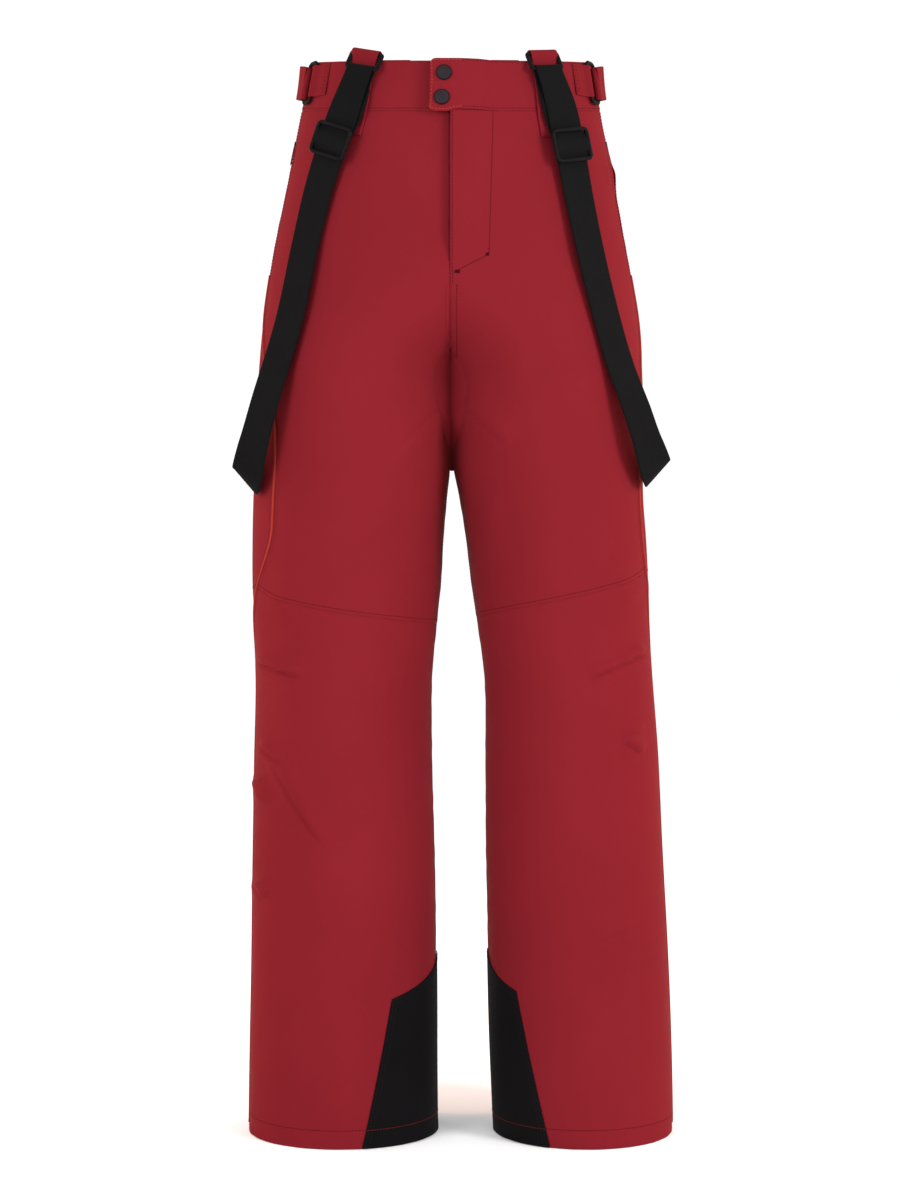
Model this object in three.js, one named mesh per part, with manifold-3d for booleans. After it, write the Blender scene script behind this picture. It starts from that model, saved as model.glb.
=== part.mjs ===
// Ski pants with detachable suspenders. Millimetres, +Z up, front towards -Y, wearer's left towards +X.
// The hems stand on Z = 0. Every piece of cloth is a thin closed shell offset from one garment surface.
import * as THREE from 'three';
import { mergeVertices } from 'three/addons/utils/BufferGeometryUtils.js';
import Module from 'manifold-3d';

const wasm = await Module();
wasm.setup();

// ---------------------------------------------------------------- driving dimensions

// Height, middle line x, half gap between the legs, right and left half widths, front and back depths.
const STATIONS = [
  [0, 15.7, 28.5, 216.2, 205.8, 87, 87],
  [130, 12.5, 26.5, 210.5, 206.5, 87, 87],
  [268, 10.5, 25.5, 206.5, 201.5, 87, 88],
  [368, 9, 26.6, 204, 198, 89, 87],
  [448, 8.5, 26.2, 201.5, 192.5, 91, 86],
  [508, 7, 20, 202, 191, 93, 88],
  [548, 6, 15, 203, 192, 95.5, 91],
  [588, 4.5, 11.5, 201.5, 191.5, 98, 94],
  [628, 3, 6.5, 199, 190, 101, 99],
  [665, 1.6, 1.2, 196, 191, 104, 105],
  [700, 1, 0.6, 195, 191.5, 107, 112],
  [745, 0.5, 0.4, 192.5, 191.5, 110.5, 120],
  [800, 0.2, 0.4, 187.5, 187.8, 113.2, 130],
  [850, 0, 0.4, 180, 180.6, 115.5, 136],
  [888, 0, 0.4, 173.3, 174, 113.6, 137],
  [928, 0, 0.4, 165, 167, 111.6, 134],
  [968, 0, 0.4, 157, 159, 109.6, 127],
  [1000, 0, 0.4, 151, 152.5, 108, 119],
  [1040, 0, 0.4, 142, 145, 105.5, 110],
  [1066, 0, 0.4, 137, 140, 104, 107],
  [1095, 0, 0.4, 131, 134, 103, 104],
];
const CROTCH_Z = 745;
const FORK_HEIGHT = 125; // above the crotch, where the two thighs have merged into one body

const BAND_BOTTOM_Z = 1017; // waistband seam at the sides
const BAND_TOP_Z = 1065;
const BAND_TILT = 0.22; // the waistband rises towards the back
const SEAM_GAP = 0.25; // half the gap between neighbouring cloth pieces

const SHELL = { out: 0, in: -2.2 };
const PATCH = { out: 2.8, in: 1.3 };
const LINING = { inset: 7.7, thick: 1.2 };
const BAND = { out: 1, in: -2 };
const BAND_LINING = { out: -2.5, in: -4.2 };
const UNDERLAP = { out: -4.7, in: -5.9 };

const HEM_TURN_Z = 12; // the lining starts above the turned hem
const GAITER = { low: 30, high: 235, offLow: -18, offHigh: -13.5, thick: 1.2 };

const SIDE_SEAM_POCKET_DEG = 8; // side seam, degrees forward of the side, beside the hand pocket
const SIDE_SEAM_THIGH_DEG = { right: 42, left: 23 };
const POCKET = { top: 992, bottom: 852, halfWidth: 5.4, zipFrom: 14, zipTo: 3 };
const KNEE = {
  right: { inner: 505, rise: 36, power: 2 },
  left: { inner: 511, rise: 47, power: 1.5 },
};
const KICK = {
  right: { hemDeg: 103.5, cornerDeg: 123, cornerZ: 142, tipZ: 180 },
  left: { hemDeg: 114, cornerDeg: 135, cornerZ: 148, tipZ: 182 },
};

const FLY = {
  hinge: { topX: 42.5, bottomX: 37, topZ: 1041, bottomZ: 855 },
  foot: { x: 0, z: 836 }, // lowest point of the opening, on the middle line
  flapLift: 5.8, // how far the free edge stands off the shell
  liftReach: 42, // from the stitching line to where the flap stands off fully
  flapThick: 1.8,
  flapBase: 0.6, // height of the flap and of the tab above the shell at the stitching line
  tabBase: 2.2,
  flapEdge: 0.2, // x of the flap's and of the tab's free edges
  tabEdge: -19,
};
const FLY_UNDERLAP = { left: -9, right: 33, bottom: 840, top: 989 };
const ZIP = {
  x: 14.5,
  top: 985,
  bottom: 846,
  tooth: 4.6,
  pocketTooth: 4.8,
  slider: [7.5, 10],
  pullerLength: 24,
};
// Heights of the zips' pieces, measured out from the shell line.
const FLY_ZIP_LEVELS = { chain: [-3.7, -2.4], slider: [-2.1, 0.2], puller: [0.5, 1.5] };
const POCKET_ZIP_LEVELS = { chain: [-2.6, -1.1], slider: [1.3, 3.4], puller: [3.8, 4.9] };
const SNAP = [
  { name: 'upper', x: -5.5, z: 1027.5 },
  { name: 'lower', x: -7.5, z: 1004 },
];
const SNAP_RADIUS = 7;
const STUD_RADIUS = 4.5;
const SNAP_GAP = 0.55; // between a cap and the tab
const STUD_GAP = 0.35; // between a stud and the band

const WEB = { width: 36, thick: 2.2 }; // suspender webbing
const RING = { inner: 37.4, bar: 2.6, upper: [-0.2, 7], lower: [8.1, -9.5] };
const LOOP = { width: 31, thick: 1.4, front: 1.9, back: -5.8, top: 6.1, backLeg: 12 };
const LOOP_PLACE = [
  { end: 'front', leg: 73, drop: 0, right: { degrees: -34, slant: 14 }, left: { degrees: 37.5, slant: 8 } },
  { end: 'back', leg: 42, drop: 4.2, right: { degrees: -155, slant: -5 }, left: { degrees: 155, slant: -5 } },
];
const SLEEVE = { hole: 2.2, outer: 3.6 }; // webbing sewn round a ring's lower bar
const SWIVEL_R = 36; // the swinging webbing starts at this distance from each end ring
const SWIVEL_GAP = 0.3;
const ADJUST = {
  degrees: 70,
  z: 1035.5,
  tape: 33,
  tapeBase: 9, // above the waistband seam
  half: 7.5, // from the ring's middle to each upright bar
  height: 41,
  bar: 2.6,
  stand: 6.2,
  swing: 1.1,
  keeperFoot: 17,
};
// Arcs round the waist, degrees from the front centre, with outer and inner offsets.
const ADJUSTER_STRAP = { from: 74.5, to: 124, out: 2.8, in: 1.5 };
const ADJUSTER_TAIL = { from: 77.8, to: 108, out: 10.6, in: 9.2 };
const TRI_GLIDE = { width: 41, height: 31, thick: 3, window: [34, 9.5], windowRise: 7, gap: 1.8, station: 6 };
const AXIS_OVERHANG = 70; // the swing cut reaches this far past each end ring

// Webbing route from the front ring down the outside of the thigh and up to the back ring. Each stop:
// distance from the middle line, height, depth (null lies on the cloth), yaw and dip of the width, degrees.
const ROUTE = {
  right: [
    [95, 1003, null, 30, 0], [108, 968, null, 33, 0], [122, 928, null, 36, 0], [136, 872, null, 38, 0],
    [154.7, 796, -88, 38, 0], [177.5, 720, -86, 37, 0], [191, 673, -77, 34, 10], [199, 645, -58, 10, 44],
    [203, 654, -28, 0, 66], [204, 663, 8, 0, 84], [201, 674, 45, -5, 60], [192, 700, 84, -30, 20],
  ],
  left: [
    [102, 1003, null, 30, 0], [111, 964, null, 33, 0], [122, 911, null, 36, 0], [138.4, 834, null, 38, 0],
    [162, 758, -88, 38, 0], [180, 710, -85, 37, 0], [193, 673, -77, 34, 10], [202, 652, -58, 10, 44],
    [204, 661, -28, 0, 66], [204, 668, 8, 0, 84], [201, 679, 45, -5, 60], [192, 705, 84, -30, 20],
  ],
};
const BACK_ROUTE = [[166, 760, -32], [136, 825, -30], [110, 885, -26], [88, 940, -22], [73, 985, -18]];

const RED = 0x94252e;
const DARK_RED = 0x7a1c26;
const BLACK_CLOTH = 0x1b191c;
const WEBBING = 0x191919;
const PLASTIC = 0x262628;
const METAL = 0x332d31;
const LINING_COLOUR = 0x2a2a2e;

// ---------------------------------------------------------------- garment surface

const rad = THREE.MathUtils.degToRad;
const lerp = THREE.MathUtils.lerp;
const clamp01 = (v) => Math.min(1, Math.max(0, v));
const smooth = (v) => clamp01(v) ** 2 * (3 - 2 * clamp01(v));
const V = (x, y, z) => new THREE.Vector3(x, y, z);

// Cubic Hermite through the stations, with finite-difference slopes.
function station(z, column) {
  const rows = STATIONS;
  let k = 0;
  while (k < rows.length - 2 && z > rows[k + 1][0]) k += 1;
  const slope = (i) => {
    const a = rows[Math.max(0, i - 1)];
    const b = rows[Math.min(rows.length - 1, i + 1)];
    return (b[column] - a[column]) / (b[0] - a[0]);
  };
  const span = rows[k + 1][0] - rows[k][0];
  const t = (z - rows[k][0]) / span;
  const h00 = (1 + 2 * t) * (1 - t) ** 2;
  const h10 = t * (1 - t) ** 2;
  const h01 = t * t * (3 - 2 * t);
  const h11 = t * t * (t - 1);
  const from = h00 * rows[k][column] + h10 * span * slope(k);
  return from + h01 * rows[k + 1][column] + h11 * span * slope(k + 1);
}

// One leg's ellipse at a height: it is whole below the crotch, and cut at the middle line above it.
// An inset draws the ellipse in on all sides, for the layers inside the shell.
function section(side, z, inset = 0) {
  const mid = station(z, 1);
  const gap = station(z, 2);
  const outer = station(z, side > 0 ? 4 : 3);
  const fork = (1 - clamp01((z - CROTCH_Z) / FORK_HEIGHT) ** 1.5) ** 2;
  const full = (outer - gap) / (1 + fork);
  const cx = gap + fork * full;
  const a = full - inset;
  const cut = Math.acos(-Math.min(1, (cx - gap) / a));
  return { mid, a, cx, front: station(z, 5) - inset, back: station(z, 6) - inset, cut };
}

// t: angle from the outer side, towards the front; side: +1 for the wearer's left, -1 for the right.
function rawPoint(side, t, z, inset = 0) {
  const s = section(side, z, inset);
  const depth = Math.sin(t) > 0 ? s.front : s.back;
  return V(s.mid + side * (s.cx + s.a * Math.cos(t)), -depth * Math.sin(t), z);
}

function normalAt(side, t, z) {
  const dt = rawPoint(side, t + 0.01, z).sub(rawPoint(side, t - 0.01, z));
  const dz = rawPoint(side, t, z + 1).sub(rawPoint(side, t, z - 1));
  return dt.cross(dz).multiplyScalar(-side).normalize();
}

function point(side, t, z, offset) {
  return rawPoint(side, t, z).addScaledVector(normalAt(side, t, z), offset);
}

// u: 0 at the front centre (or inseam), 0.5 at the side, 1 at the back centre (or inseam).
const angleOf = (side, u, z) => section(side, z).cut * (1 - 2 * u);

// A point on the front, found by its x.
function frontPoint(x, z, offset, facing = 1) {
  const side = x >= station(z, 1) ? 1 : -1;
  const s = section(side, z);
  const c = (Math.abs(x - s.mid) - s.cx) / s.a;
  return point(side, facing * Math.acos(Math.max(-1, Math.min(1, c))), z, offset);
}

const backPoint = (x, z, offset) => frontPoint(x, z, offset, -1);

// A point round the waist: 0 at the front centre, positive towards the wearer's left, 180 at the back.
function waistPoint(degrees, z, offset) {
  const turn = ((degrees + 540) % 360) - 180;
  return point(turn >= 0 ? 1 : -1, rad(90 - Math.abs(turn)), z, offset);
}

// ---------------------------------------------------------------- solids

function geometryFrom(positions, triangles) {
  const geometry = new THREE.BufferGeometry();
  const coordinates = positions.flatMap((p) => p.toArray());
  geometry.setAttribute('position', new THREE.Float32BufferAttribute(coordinates, 3));
  geometry.setIndex(triangles);
  let volume = 0;
  for (let i = 0; i < triangles.length; i += 3) {
    const [a, b, c] = [0, 1, 2].map((k) => positions[triangles[i + k]]);
    volume += a.dot(b.clone().cross(c));
  }
  if (volume < 0) {
    for (let i = 0; i < triangles.length; i += 3) {
      [triangles[i + 1], triangles[i + 2]] = [triangles[i + 2], triangles[i + 1]];
    }
    geometry.setIndex(triangles);
  }
  geometry.computeVertexNormals();
  return geometry;
}

// A closed plate between two grids of points; ring joins the last column to the first.
function plate(columns, rows, outer, inner, ring = false) {
  const positions = [];
  for (const grid of [outer, inner]) {
    for (let j = 0; j < rows; j += 1) {
      for (let i = 0; i < columns; i += 1) positions.push(grid(i, j));
    }
  }
  const at = (layer, i, j) => layer * rows * columns + j * columns + (i % columns);
  const triangles = [];
  const quad = (a, b, c, d) => triangles.push(a, b, c, a, c, d);
  const spans = ring ? columns : columns - 1;
  for (let j = 0; j < rows - 1; j += 1) {
    for (let i = 0; i < spans; i += 1) {
      quad(at(0, i, j), at(0, i + 1, j), at(0, i + 1, j + 1), at(0, i, j + 1));
      quad(at(1, i, j), at(1, i, j + 1), at(1, i + 1, j + 1), at(1, i + 1, j));
    }
  }
  for (let i = 0; i < spans; i += 1) {
    quad(at(0, i, 0), at(1, i, 0), at(1, i + 1, 0), at(0, i + 1, 0));
    const top = rows - 1;
    quad(at(0, i, top), at(0, i + 1, top), at(1, i + 1, top), at(1, i, top));
  }
  if (!ring) {
    for (let j = 0; j < rows - 1; j += 1) {
      quad(at(0, 0, j), at(0, 0, j + 1), at(1, 0, j + 1), at(1, 0, j));
      const last = columns - 1;
      quad(at(0, last, j), at(1, last, j), at(1, last, j + 1), at(0, last, j + 1));
    }
  }
  return geometryFrom(positions, triangles);
}

function toSolid(geometry) {
  const bare = geometry.clone();
  bare.deleteAttribute('normal');
  bare.deleteAttribute('uv');
  const merged = mergeVertices(bare, 1e-4);
  return new wasm.Manifold(new wasm.Mesh({
    numProp: 3,
    vertProperties: new Float32Array(merged.attributes.position.array),
    triVerts: new Uint32Array(merged.index.array),
  }));
}

function fromSolid(solid) {
  const mesh = solid.getMesh();
  const geometry = new THREE.BufferGeometry();
  geometry.setAttribute('position', new THREE.BufferAttribute(new Float32Array(mesh.vertProperties), 3));
  geometry.setIndex([...mesh.triVerts]);
  geometry.computeVertexNormals();
  return geometry;
}

function cut(from, ...tools) {
  return fromSolid(tools.reduce((solid, tool) => solid.subtract(toSolid(tool)), toSolid(from)));
}

const common = (a, b) => fromSolid(toSolid(a).intersect(toSolid(b)));
const join = (a, b) => fromSolid(toSolid(a).add(toSolid(b)));

// An extruded outline. origin is where the outline's (0, 0) goes, depth runs along ez from -depth/2.
function extrude(outline, depth, origin, ex, ey, holes = []) {
  const shape = new THREE.Shape(outline.map(([x, y]) => new THREE.Vector2(x, y)));
  shape.holes = holes.map((h) => new THREE.Path(h.map(([x, y]) => new THREE.Vector2(x, y))));
  const geometry = new THREE.ExtrudeGeometry(shape, { depth, bevelEnabled: false });
  geometry.translate(0, 0, -depth / 2);
  const ez = ex.clone().cross(ey).normalize();
  const up = ez.clone().cross(ex).normalize();
  geometry.applyMatrix4(new THREE.Matrix4().makeBasis(ex, up, ez).setPosition(origin));
  return geometry;
}

function roundedRect(width, height, radius, steps = 3) {
  const outline = [];
  const corners = [[1, 1, 0], [-1, 1, 90], [-1, -1, 180], [1, -1, 270]];
  for (const [sx, sy, start] of corners) {
    for (let i = 0; i <= steps; i += 1) {
      const angle = rad(start + (90 * i) / steps);
      const x = sx * (width / 2 - radius) + radius * Math.cos(angle);
      outline.push([x, sy * (height / 2 - radius) + radius * Math.sin(angle)]);
    }
  }
  return outline;
}

const circle = (x, y, radius, steps = 12) => Array.from({ length: steps }, (_, i) => {
  const angle = (2 * Math.PI * i) / steps;
  return [x + radius * Math.cos(angle), y + radius * Math.sin(angle)];
});

// Webbing swept along stations { at, across }, with across turned square to the path.
function ribbon(stations, width, thickness) {
  const frames = stations.map(({ at, across }, i) => {
    const before = stations[Math.max(0, i - 1)].at;
    const after = stations[Math.min(stations.length - 1, i + 1)].at;
    const along = after.clone().sub(before).normalize();
    const wide = across.clone().addScaledVector(along, -across.dot(along)).normalize();
    return { at, wide, face: along.clone().cross(wide).normalize() };
  });
  const grid = (side) => (i, j) => {
    const { at, wide, face } = frames[j];
    return at.clone().addScaledVector(wide, (i - 0.5) * width).addScaledVector(face, (side * thickness) / 2);
  };
  return plate(2, frames.length, grid(1), grid(-1));
}

const group = new THREE.Group();

function add(name, geometry, colour, roughness = 0.75, metalness = 0) {
  const material = new THREE.MeshStandardMaterial({ color: colour, roughness, metalness });
  const mesh = new THREE.Mesh(geometry, material);
  mesh.name = name;
  group.add(mesh);
  return mesh;
}

// ---------------------------------------------------------------- shell panels

const SIDES = [['right', -1], ['left', 1]];

// Degrees forward of the side: level beside the pocket, forward on the thigh, back below the knee.
function sideSeamAngle(side, z) {
  const thigh = SIDE_SEAM_THIGH_DEG[side > 0 ? 'left' : 'right'];
  const upper = lerp(thigh, SIDE_SEAM_POCKET_DEG, smooth((z - 690) / 140));
  return rad(upper * smooth((z - 470) / 130));
}

const sideSeamU = (side, z) => 0.5 * (1 - sideSeamAngle(side, z) / section(side, z).cut);

function pocketHalfAngle(side, z) {
  const open = z > POCKET.bottom && z < POCKET.top;
  return open ? POCKET.halfWidth / section(side, z).back : SEAM_GAP / section(side, z).back;
}

// Height of a plane that tilts like the waistband, met by the surface at this place.
function tiltedHeight(side, u, base) {
  let z = base;
  for (let i = 0; i < 4; i += 1) z = base + BAND_TILT * rawPoint(side, angleOf(side, u, z), z).y;
  return z;
}

function kneeHeight(name, w) {
  const { inner, rise, power } = KNEE[name];
  return inner + rise * w ** power;
}

// Rows at fixed heights, bent near both ends to meet the panel's own lower and upper edges.
const EDGE_BLEND = 150;
function bentRow(levels, j, low, high) {
  const z = levels[j];
  const first = levels[0];
  const last = levels[levels.length - 1];
  const down = (low - first) * clamp01(1 - (z - first) / EDGE_BLEND);
  return z + down + (high - last) * clamp01(1 - (last - z) / EDGE_BLEND);
}

// A shell panel between u0(z) and u1(z), and between the heights low(w) and high(w) across it.
function panel(side, levels, columns, { u0, u1, low, high, out, inn }) {
  const grid = (offset) => (i, j) => {
    const w = i / (columns - 1);
    const z = bentRow(levels, j, low(w), high(w));
    const u = lerp(u0(z), u1(z), w);
    return point(side, angleOf(side, u, z), z, offset);
  };
  return plate(columns, levels.length, grid(out), grid(inn));
}

const THIGH_LEVELS = [530, 570, 610, 650, 690, 725, 745, 751, 760, 775, 800, 836, 880, 930, 975, 1010];
const SHIN_LEVELS = [0, 70, 140, 210, 280, 350, 420, 470, 520];

const inseamGap = (side, z) => SEAM_GAP / (section(side, z).a * section(side, z).cut * 2);

for (const [name, side] of SIDES) {
  const kneeBack = kneeHeight(name, 1);
  const front = (z) => sideSeamU(side, z) - pocketHalfAngle(side, z) / (2 * section(side, z).cut);
  const rear = (z) => sideSeamU(side, z) + pocketHalfAngle(side, z) / (2 * section(side, z).cut);
  const centre = (z) => inseamGap(side, z);
  const backCentre = (z) => 1 - inseamGap(side, z);
  const kneeLine = (w) => kneeHeight(name, w);
  const kneeBackLine = (w) => lerp(kneeBack, kneeHeight(name, 0), w);
  const shell = { out: SHELL.out, inn: SHELL.in };
  const bandLine = (u) => tiltedHeight(side, u, BAND_BOTTOM_Z) - SEAM_GAP;

  let thigh = panel(side, THIGH_LEVELS, 11, {
    ...shell,
    u0: centre,
    u1: front,
    low: (w) => kneeLine(w) + SEAM_GAP,
    high: (w) => bandLine(lerp(0, front(1000), w)),
  });
  if (side > 0) {
    const { hinge, foot } = FLY;
    const opening = [[-12, foot.z - 1], [foot.x, foot.z - 1], [hinge.bottomX + 0.5, hinge.bottomZ - 1],
      [hinge.topX + 0.6, hinge.topZ], [hinge.topX, hinge.topZ + 60], [-12, hinge.topZ + 60]];
    thigh = cut(thigh, extrude(opening, 80, V(0, -120, 0), V(1, 0, 0), V(0, 0, 1)));
  }
  add(`front_thigh_${name}`, thigh, RED);
  add(`seat_${name}`, panel(side, THIGH_LEVELS, 11, {
    ...shell,
    u0: rear,
    u1: backCentre,
    low: (w) => kneeBackLine(w) + SEAM_GAP,
    high: (w) => bandLine(lerp(rear(1020), 1, w)),
  }), RED);
  add(`front_shin_${name}`, panel(side, SHIN_LEVELS, 9, {
    ...shell,
    u0: centre,
    u1: front,
    low: () => 0,
    high: (w) => kneeLine(w) - SEAM_GAP,
  }), RED);
  add(`calf_${name}`, panel(side, SHIN_LEVELS, 9, {
    ...shell,
    u0: rear,
    u1: backCentre,
    low: () => 0,
    high: (w) => kneeBackLine(w) - SEAM_GAP,
  }), RED);
}

// The scuff patch wraps the inside of the leg from the hem up, with a concave top edge.
function kickPatch(name, side) {
  const { hemDeg, cornerDeg, cornerZ, tipZ } = KICK[name];
  const columns = 11;
  const rows = 5;
  const grid = (offset) => (i, j) => {
    const w = (2 * i) / (columns - 1) - 1; // -1 front edge, 0 inseam, 1 back edge
    const q = j / (rows - 1);
    const edgeZ = lerp(tipZ, cornerZ, Math.abs(w) ** 0.7);
    const z = lerp(0.2, edgeZ, q);
    const half = Math.PI - rad(lerp(hemDeg, cornerDeg, z / cornerZ));
    return point(side, Math.PI + w * half, z, offset);
  };
  return plate(columns, rows, grid(PATCH.out), grid(PATCH.in));
}

for (const [name, side] of SIDES) add(`kick_patch_${name}`, kickPatch(name, side), BLACK_CLOTH, 0.85);

// ---------------------------------------------------------------- lining and snow gaiters

const LINING_COLUMNS = 12;
const LINING_LEVELS = [
  HEM_TURN_Z, 130, 250, 370, 470, 560, 640, 700, 730, 745, 751, 758, 768, 785, 815, 860, 930, 1008,
];
const INNER_GAP = 1.2; // from an inner layer's edge to the inseam or the middle line
const LINING_TOP_GAP = 3;

// A point of an inner layer, which keeps its opening at the inseam and at the middle line.
function innerPoint(side, u, z, inset) {
  const s = section(side, z, inset);
  const t = (s.cut - INNER_GAP / s.a) * (1 - 2 * u);
  return rawPoint(side, t, z, inset);
}

for (const [name, side] of SIDES) {
  const rows = LINING_LEVELS.length;
  const layer = (inset) => (i, j) => {
    const u = i / (LINING_COLUMNS - 1);
    const top = tiltedHeight(side, u, BAND_BOTTOM_Z) - LINING_TOP_GAP;
    return innerPoint(side, u, bentRow(LINING_LEVELS, j, HEM_TURN_Z, top), inset);
  };
  const lining = plate(LINING_COLUMNS, rows, layer(LINING.inset), layer(LINING.inset + LINING.thick));
  add(`lining_${name}`, lining, LINING_COLOUR, 0.8);

  const turns = 18;
  const gaiterRows = 4;
  const gaiter = (inset) => (i, j) => {
    const q = j / (gaiterRows - 1);
    const z = lerp(GAITER.low, GAITER.high, q);
    const t = (2 * Math.PI * i) / turns;
    return point(side, t, z, lerp(GAITER.offLow, GAITER.offHigh, q ** 2) - inset);
  };
  add(`gaiter_${name}`, plate(turns, gaiterRows, gaiter(0), gaiter(GAITER.thick), true), LINING_COLOUR, 0.7);
}

// ---------------------------------------------------------------- waistband

// A stretch of the waistband between two angles round the waist.
function waistArc(from, to, columns, baseLow, baseHigh, out, inn, rows = 3) {
  const grid = (offset) => (i, j) => {
    const degrees = lerp(from, to, i / (columns - 1));
    const turn = ((degrees + 540) % 360) - 180;
    const side = turn >= 0 ? 1 : -1;
    const u = Math.abs(turn) / 180;
    const low = tiltedHeight(side, u, baseLow);
    const high = tiltedHeight(side, u, baseHigh);
    return waistPoint(degrees, lerp(low, high, j / (rows - 1)), offset);
  };
  return plate(columns, rows, grid(out), grid(inn));
}

const SIDE_DEG = 90 - SIDE_SEAM_POCKET_DEG;
const HINGE_DEG = 17.8; // round the waist, where the closure's stitching line crosses the band
const UNDER_DEG = 13; // how far the right band runs under the tab
const bandLow = BAND_BOTTOM_Z + SEAM_GAP;

const JOINT_DEG = 0.15; // half the gap between two stretches of the band
const HINGE_GAP_DEG = 0.3;
const LINING_SHORT_DEG = 1; // the band's lining ends this much sooner, and lower than its top
const LINING_LOWER = 3;

const bandPiece = (from, to, columns) => waistArc(from, to, columns, bandLow, BAND_TOP_Z, BAND.out, BAND.in);
add('waistband_front_right', bandPiece(-SIDE_DEG + JOINT_DEG, UNDER_DEG, 14), RED);
add('waistband_front_left', bandPiece(HINGE_DEG + HINGE_GAP_DEG, SIDE_DEG - JOINT_DEG, 10), RED);
add('waistband_back', bandPiece(SIDE_DEG + JOINT_DEG, 360 - SIDE_DEG - JOINT_DEG, 25), RED);

const liningFrom = HINGE_DEG + LINING_SHORT_DEG;
const liningTo = 360 + UNDER_DEG - LINING_SHORT_DEG;
const { out: liningOut, in: liningIn } = BAND_LINING;
const liningTop = BAND_TOP_Z - LINING_LOWER;
const bandLining = waistArc(liningFrom, liningTo, 37, bandLow, liningTop, liningOut, liningIn);
add('waist_lining', bandLining, LINING_COLOUR, 0.85);

// ---------------------------------------------------------------- fly

function hingeX(z) {
  const { topX, bottomX, topZ, bottomZ } = FLY.hinge;
  return lerp(bottomX, topX, (z - bottomZ) / (topZ - bottomZ));
}

const flapFoot = (x) => lerp(FLY.foot.z, FLY.hinge.bottomZ, clamp01(x / FLY.hinge.bottomX));

// The flap lies flush at its stitching and stands off towards its free edge.
function lift(x, z) {
  return FLY.flapLift * Math.sin((Math.PI / 2) * clamp01((hingeX(z) - x) / FLY.liftReach));
}

const HINGE_LINE_GAP = 0.3;

// A cover over the opening, from its free edge to the stitching line.
function closureSheet(edgeX, low, high, columns, rows, base) {
  const grid = (offset) => (i, j) => {
    const q = j / (rows - 1);
    const zNear = lerp(low(edgeX), high(edgeX), q);
    const x = lerp(edgeX, hingeX(zNear) - HINGE_LINE_GAP, i / (columns - 1));
    const z = lerp(low(x), high(x), q);
    return frontPoint(x, z, base + lift(x, z) + offset);
  };
  return plate(columns, rows, grid(0), grid(-FLY.flapThick));
}

const frontHeight = (base) => (x) => {
  let z = base;
  for (let i = 0; i < 4; i += 1) z = base + BAND_TILT * frontPoint(x, z, 0).y;
  return z;
};

const FOOT_GAP = 0.4;
const TAB_GAP = 0.3;
const flapLow = (x) => flapFoot(x) + FOOT_GAP;
const flapHigh = (x) => frontHeight(BAND_BOTTOM_Z)(x) - TAB_GAP;
add('fly_flap', closureSheet(FLY.flapEdge, flapLow, flapHigh, 6, 8, FLY.flapBase), RED);
const tab = closureSheet(FLY.tabEdge, frontHeight(bandLow), frontHeight(BAND_TOP_Z), 8, 3, FLY.tabBase);
add('waist_tab', tab, RED);

const underlapColumns = 6;
const underlapRows = 8;
const underlap = (offset) => (i, j) => {
  const { left, right, bottom, top } = FLY_UNDERLAP;
  const x = lerp(left, right, i / (underlapColumns - 1));
  return frontPoint(x, lerp(bottom, top, j / (underlapRows - 1)), offset);
};
const underlapSheet = plate(underlapColumns, underlapRows, underlap(UNDERLAP.out), underlap(UNDERLAP.in));
add('fly_underlap', underlapSheet, DARK_RED);

// The straight frame that a zip's pieces lie on: its lower end, and the axes along, across and out of it.
function zipFrame(low, high, across, face) {
  const up = high.clone().sub(low).normalize();
  return { low, up, across, face, length: high.distanceTo(low) };
}

// A flat piece of a zip, between two levels, with its middle at a distance along the zip.
function zipPiece(frame, outline, along, [low, high]) {
  const middle = frame.low.clone().addScaledVector(frame.up, along);
  middle.addScaledVector(frame.face, (low + high) / 2);
  return extrude(outline, high - low, middle, frame.across, frame.up);
}

// Distances from the zip's upper end to the middles of the slider and of the puller.
const addZip = (frame, levels, tooth, pullerWidth, sliderDown, pullerDown, names) => {
  const chain = roundedRect(tooth, frame.length, 0.8, 1);
  const slider = roundedRect(...ZIP.slider, 2, 2);
  const puller = roundedRect(pullerWidth, ZIP.pullerLength, 1.9, 3);
  add(names.chain, zipPiece(frame, chain, frame.length / 2, levels.chain), METAL, 0.45, 0.4);
  add(names.slider, zipPiece(frame, slider, frame.length - sliderDown, levels.slider), METAL, 0.35, 0.7);
  add(names.puller, zipPiece(frame, puller, frame.length - pullerDown, levels.puller), METAL, 0.35, 0.7);
};

const flyTop = frontPoint(ZIP.x, ZIP.top, 0);
const flyBottom = frontPoint(ZIP.x, ZIP.bottom, 0);
const flyUp = flyTop.clone().sub(flyBottom).normalize();
const flyAcross = V(1, 0, 0).addScaledVector(flyUp, -flyUp.x).normalize();
const flyFace = flyAcross.clone().cross(flyUp).normalize();
addZip(zipFrame(flyBottom, flyTop, flyAcross, flyFace), FLY_ZIP_LEVELS, ZIP.tooth, 4, 9, 18.5, {
  chain: 'fly_zip_chain',
  slider: 'fly_zip_slider',
  puller: 'fly_zip_puller',
});

// ---------------------------------------------------------------- snap fasteners

function disc(centre, face, profile, segments = 20) {
  const lathe = new THREE.LatheGeometry(profile.map(([r, h]) => new THREE.Vector2(r, h)), segments);
  const turn = new THREE.Quaternion().setFromUnitVectors(V(0, 1, 0), face);
  return lathe.applyQuaternion(turn).translate(centre.x, centre.y, centre.z);
}

const frontNormal = (x, z) => {
  const side = x >= station(z, 1) ? 1 : -1;
  const s = section(side, z);
  return normalAt(side, Math.acos((Math.abs(x - s.mid) - s.cx) / s.a), z);
};

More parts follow.
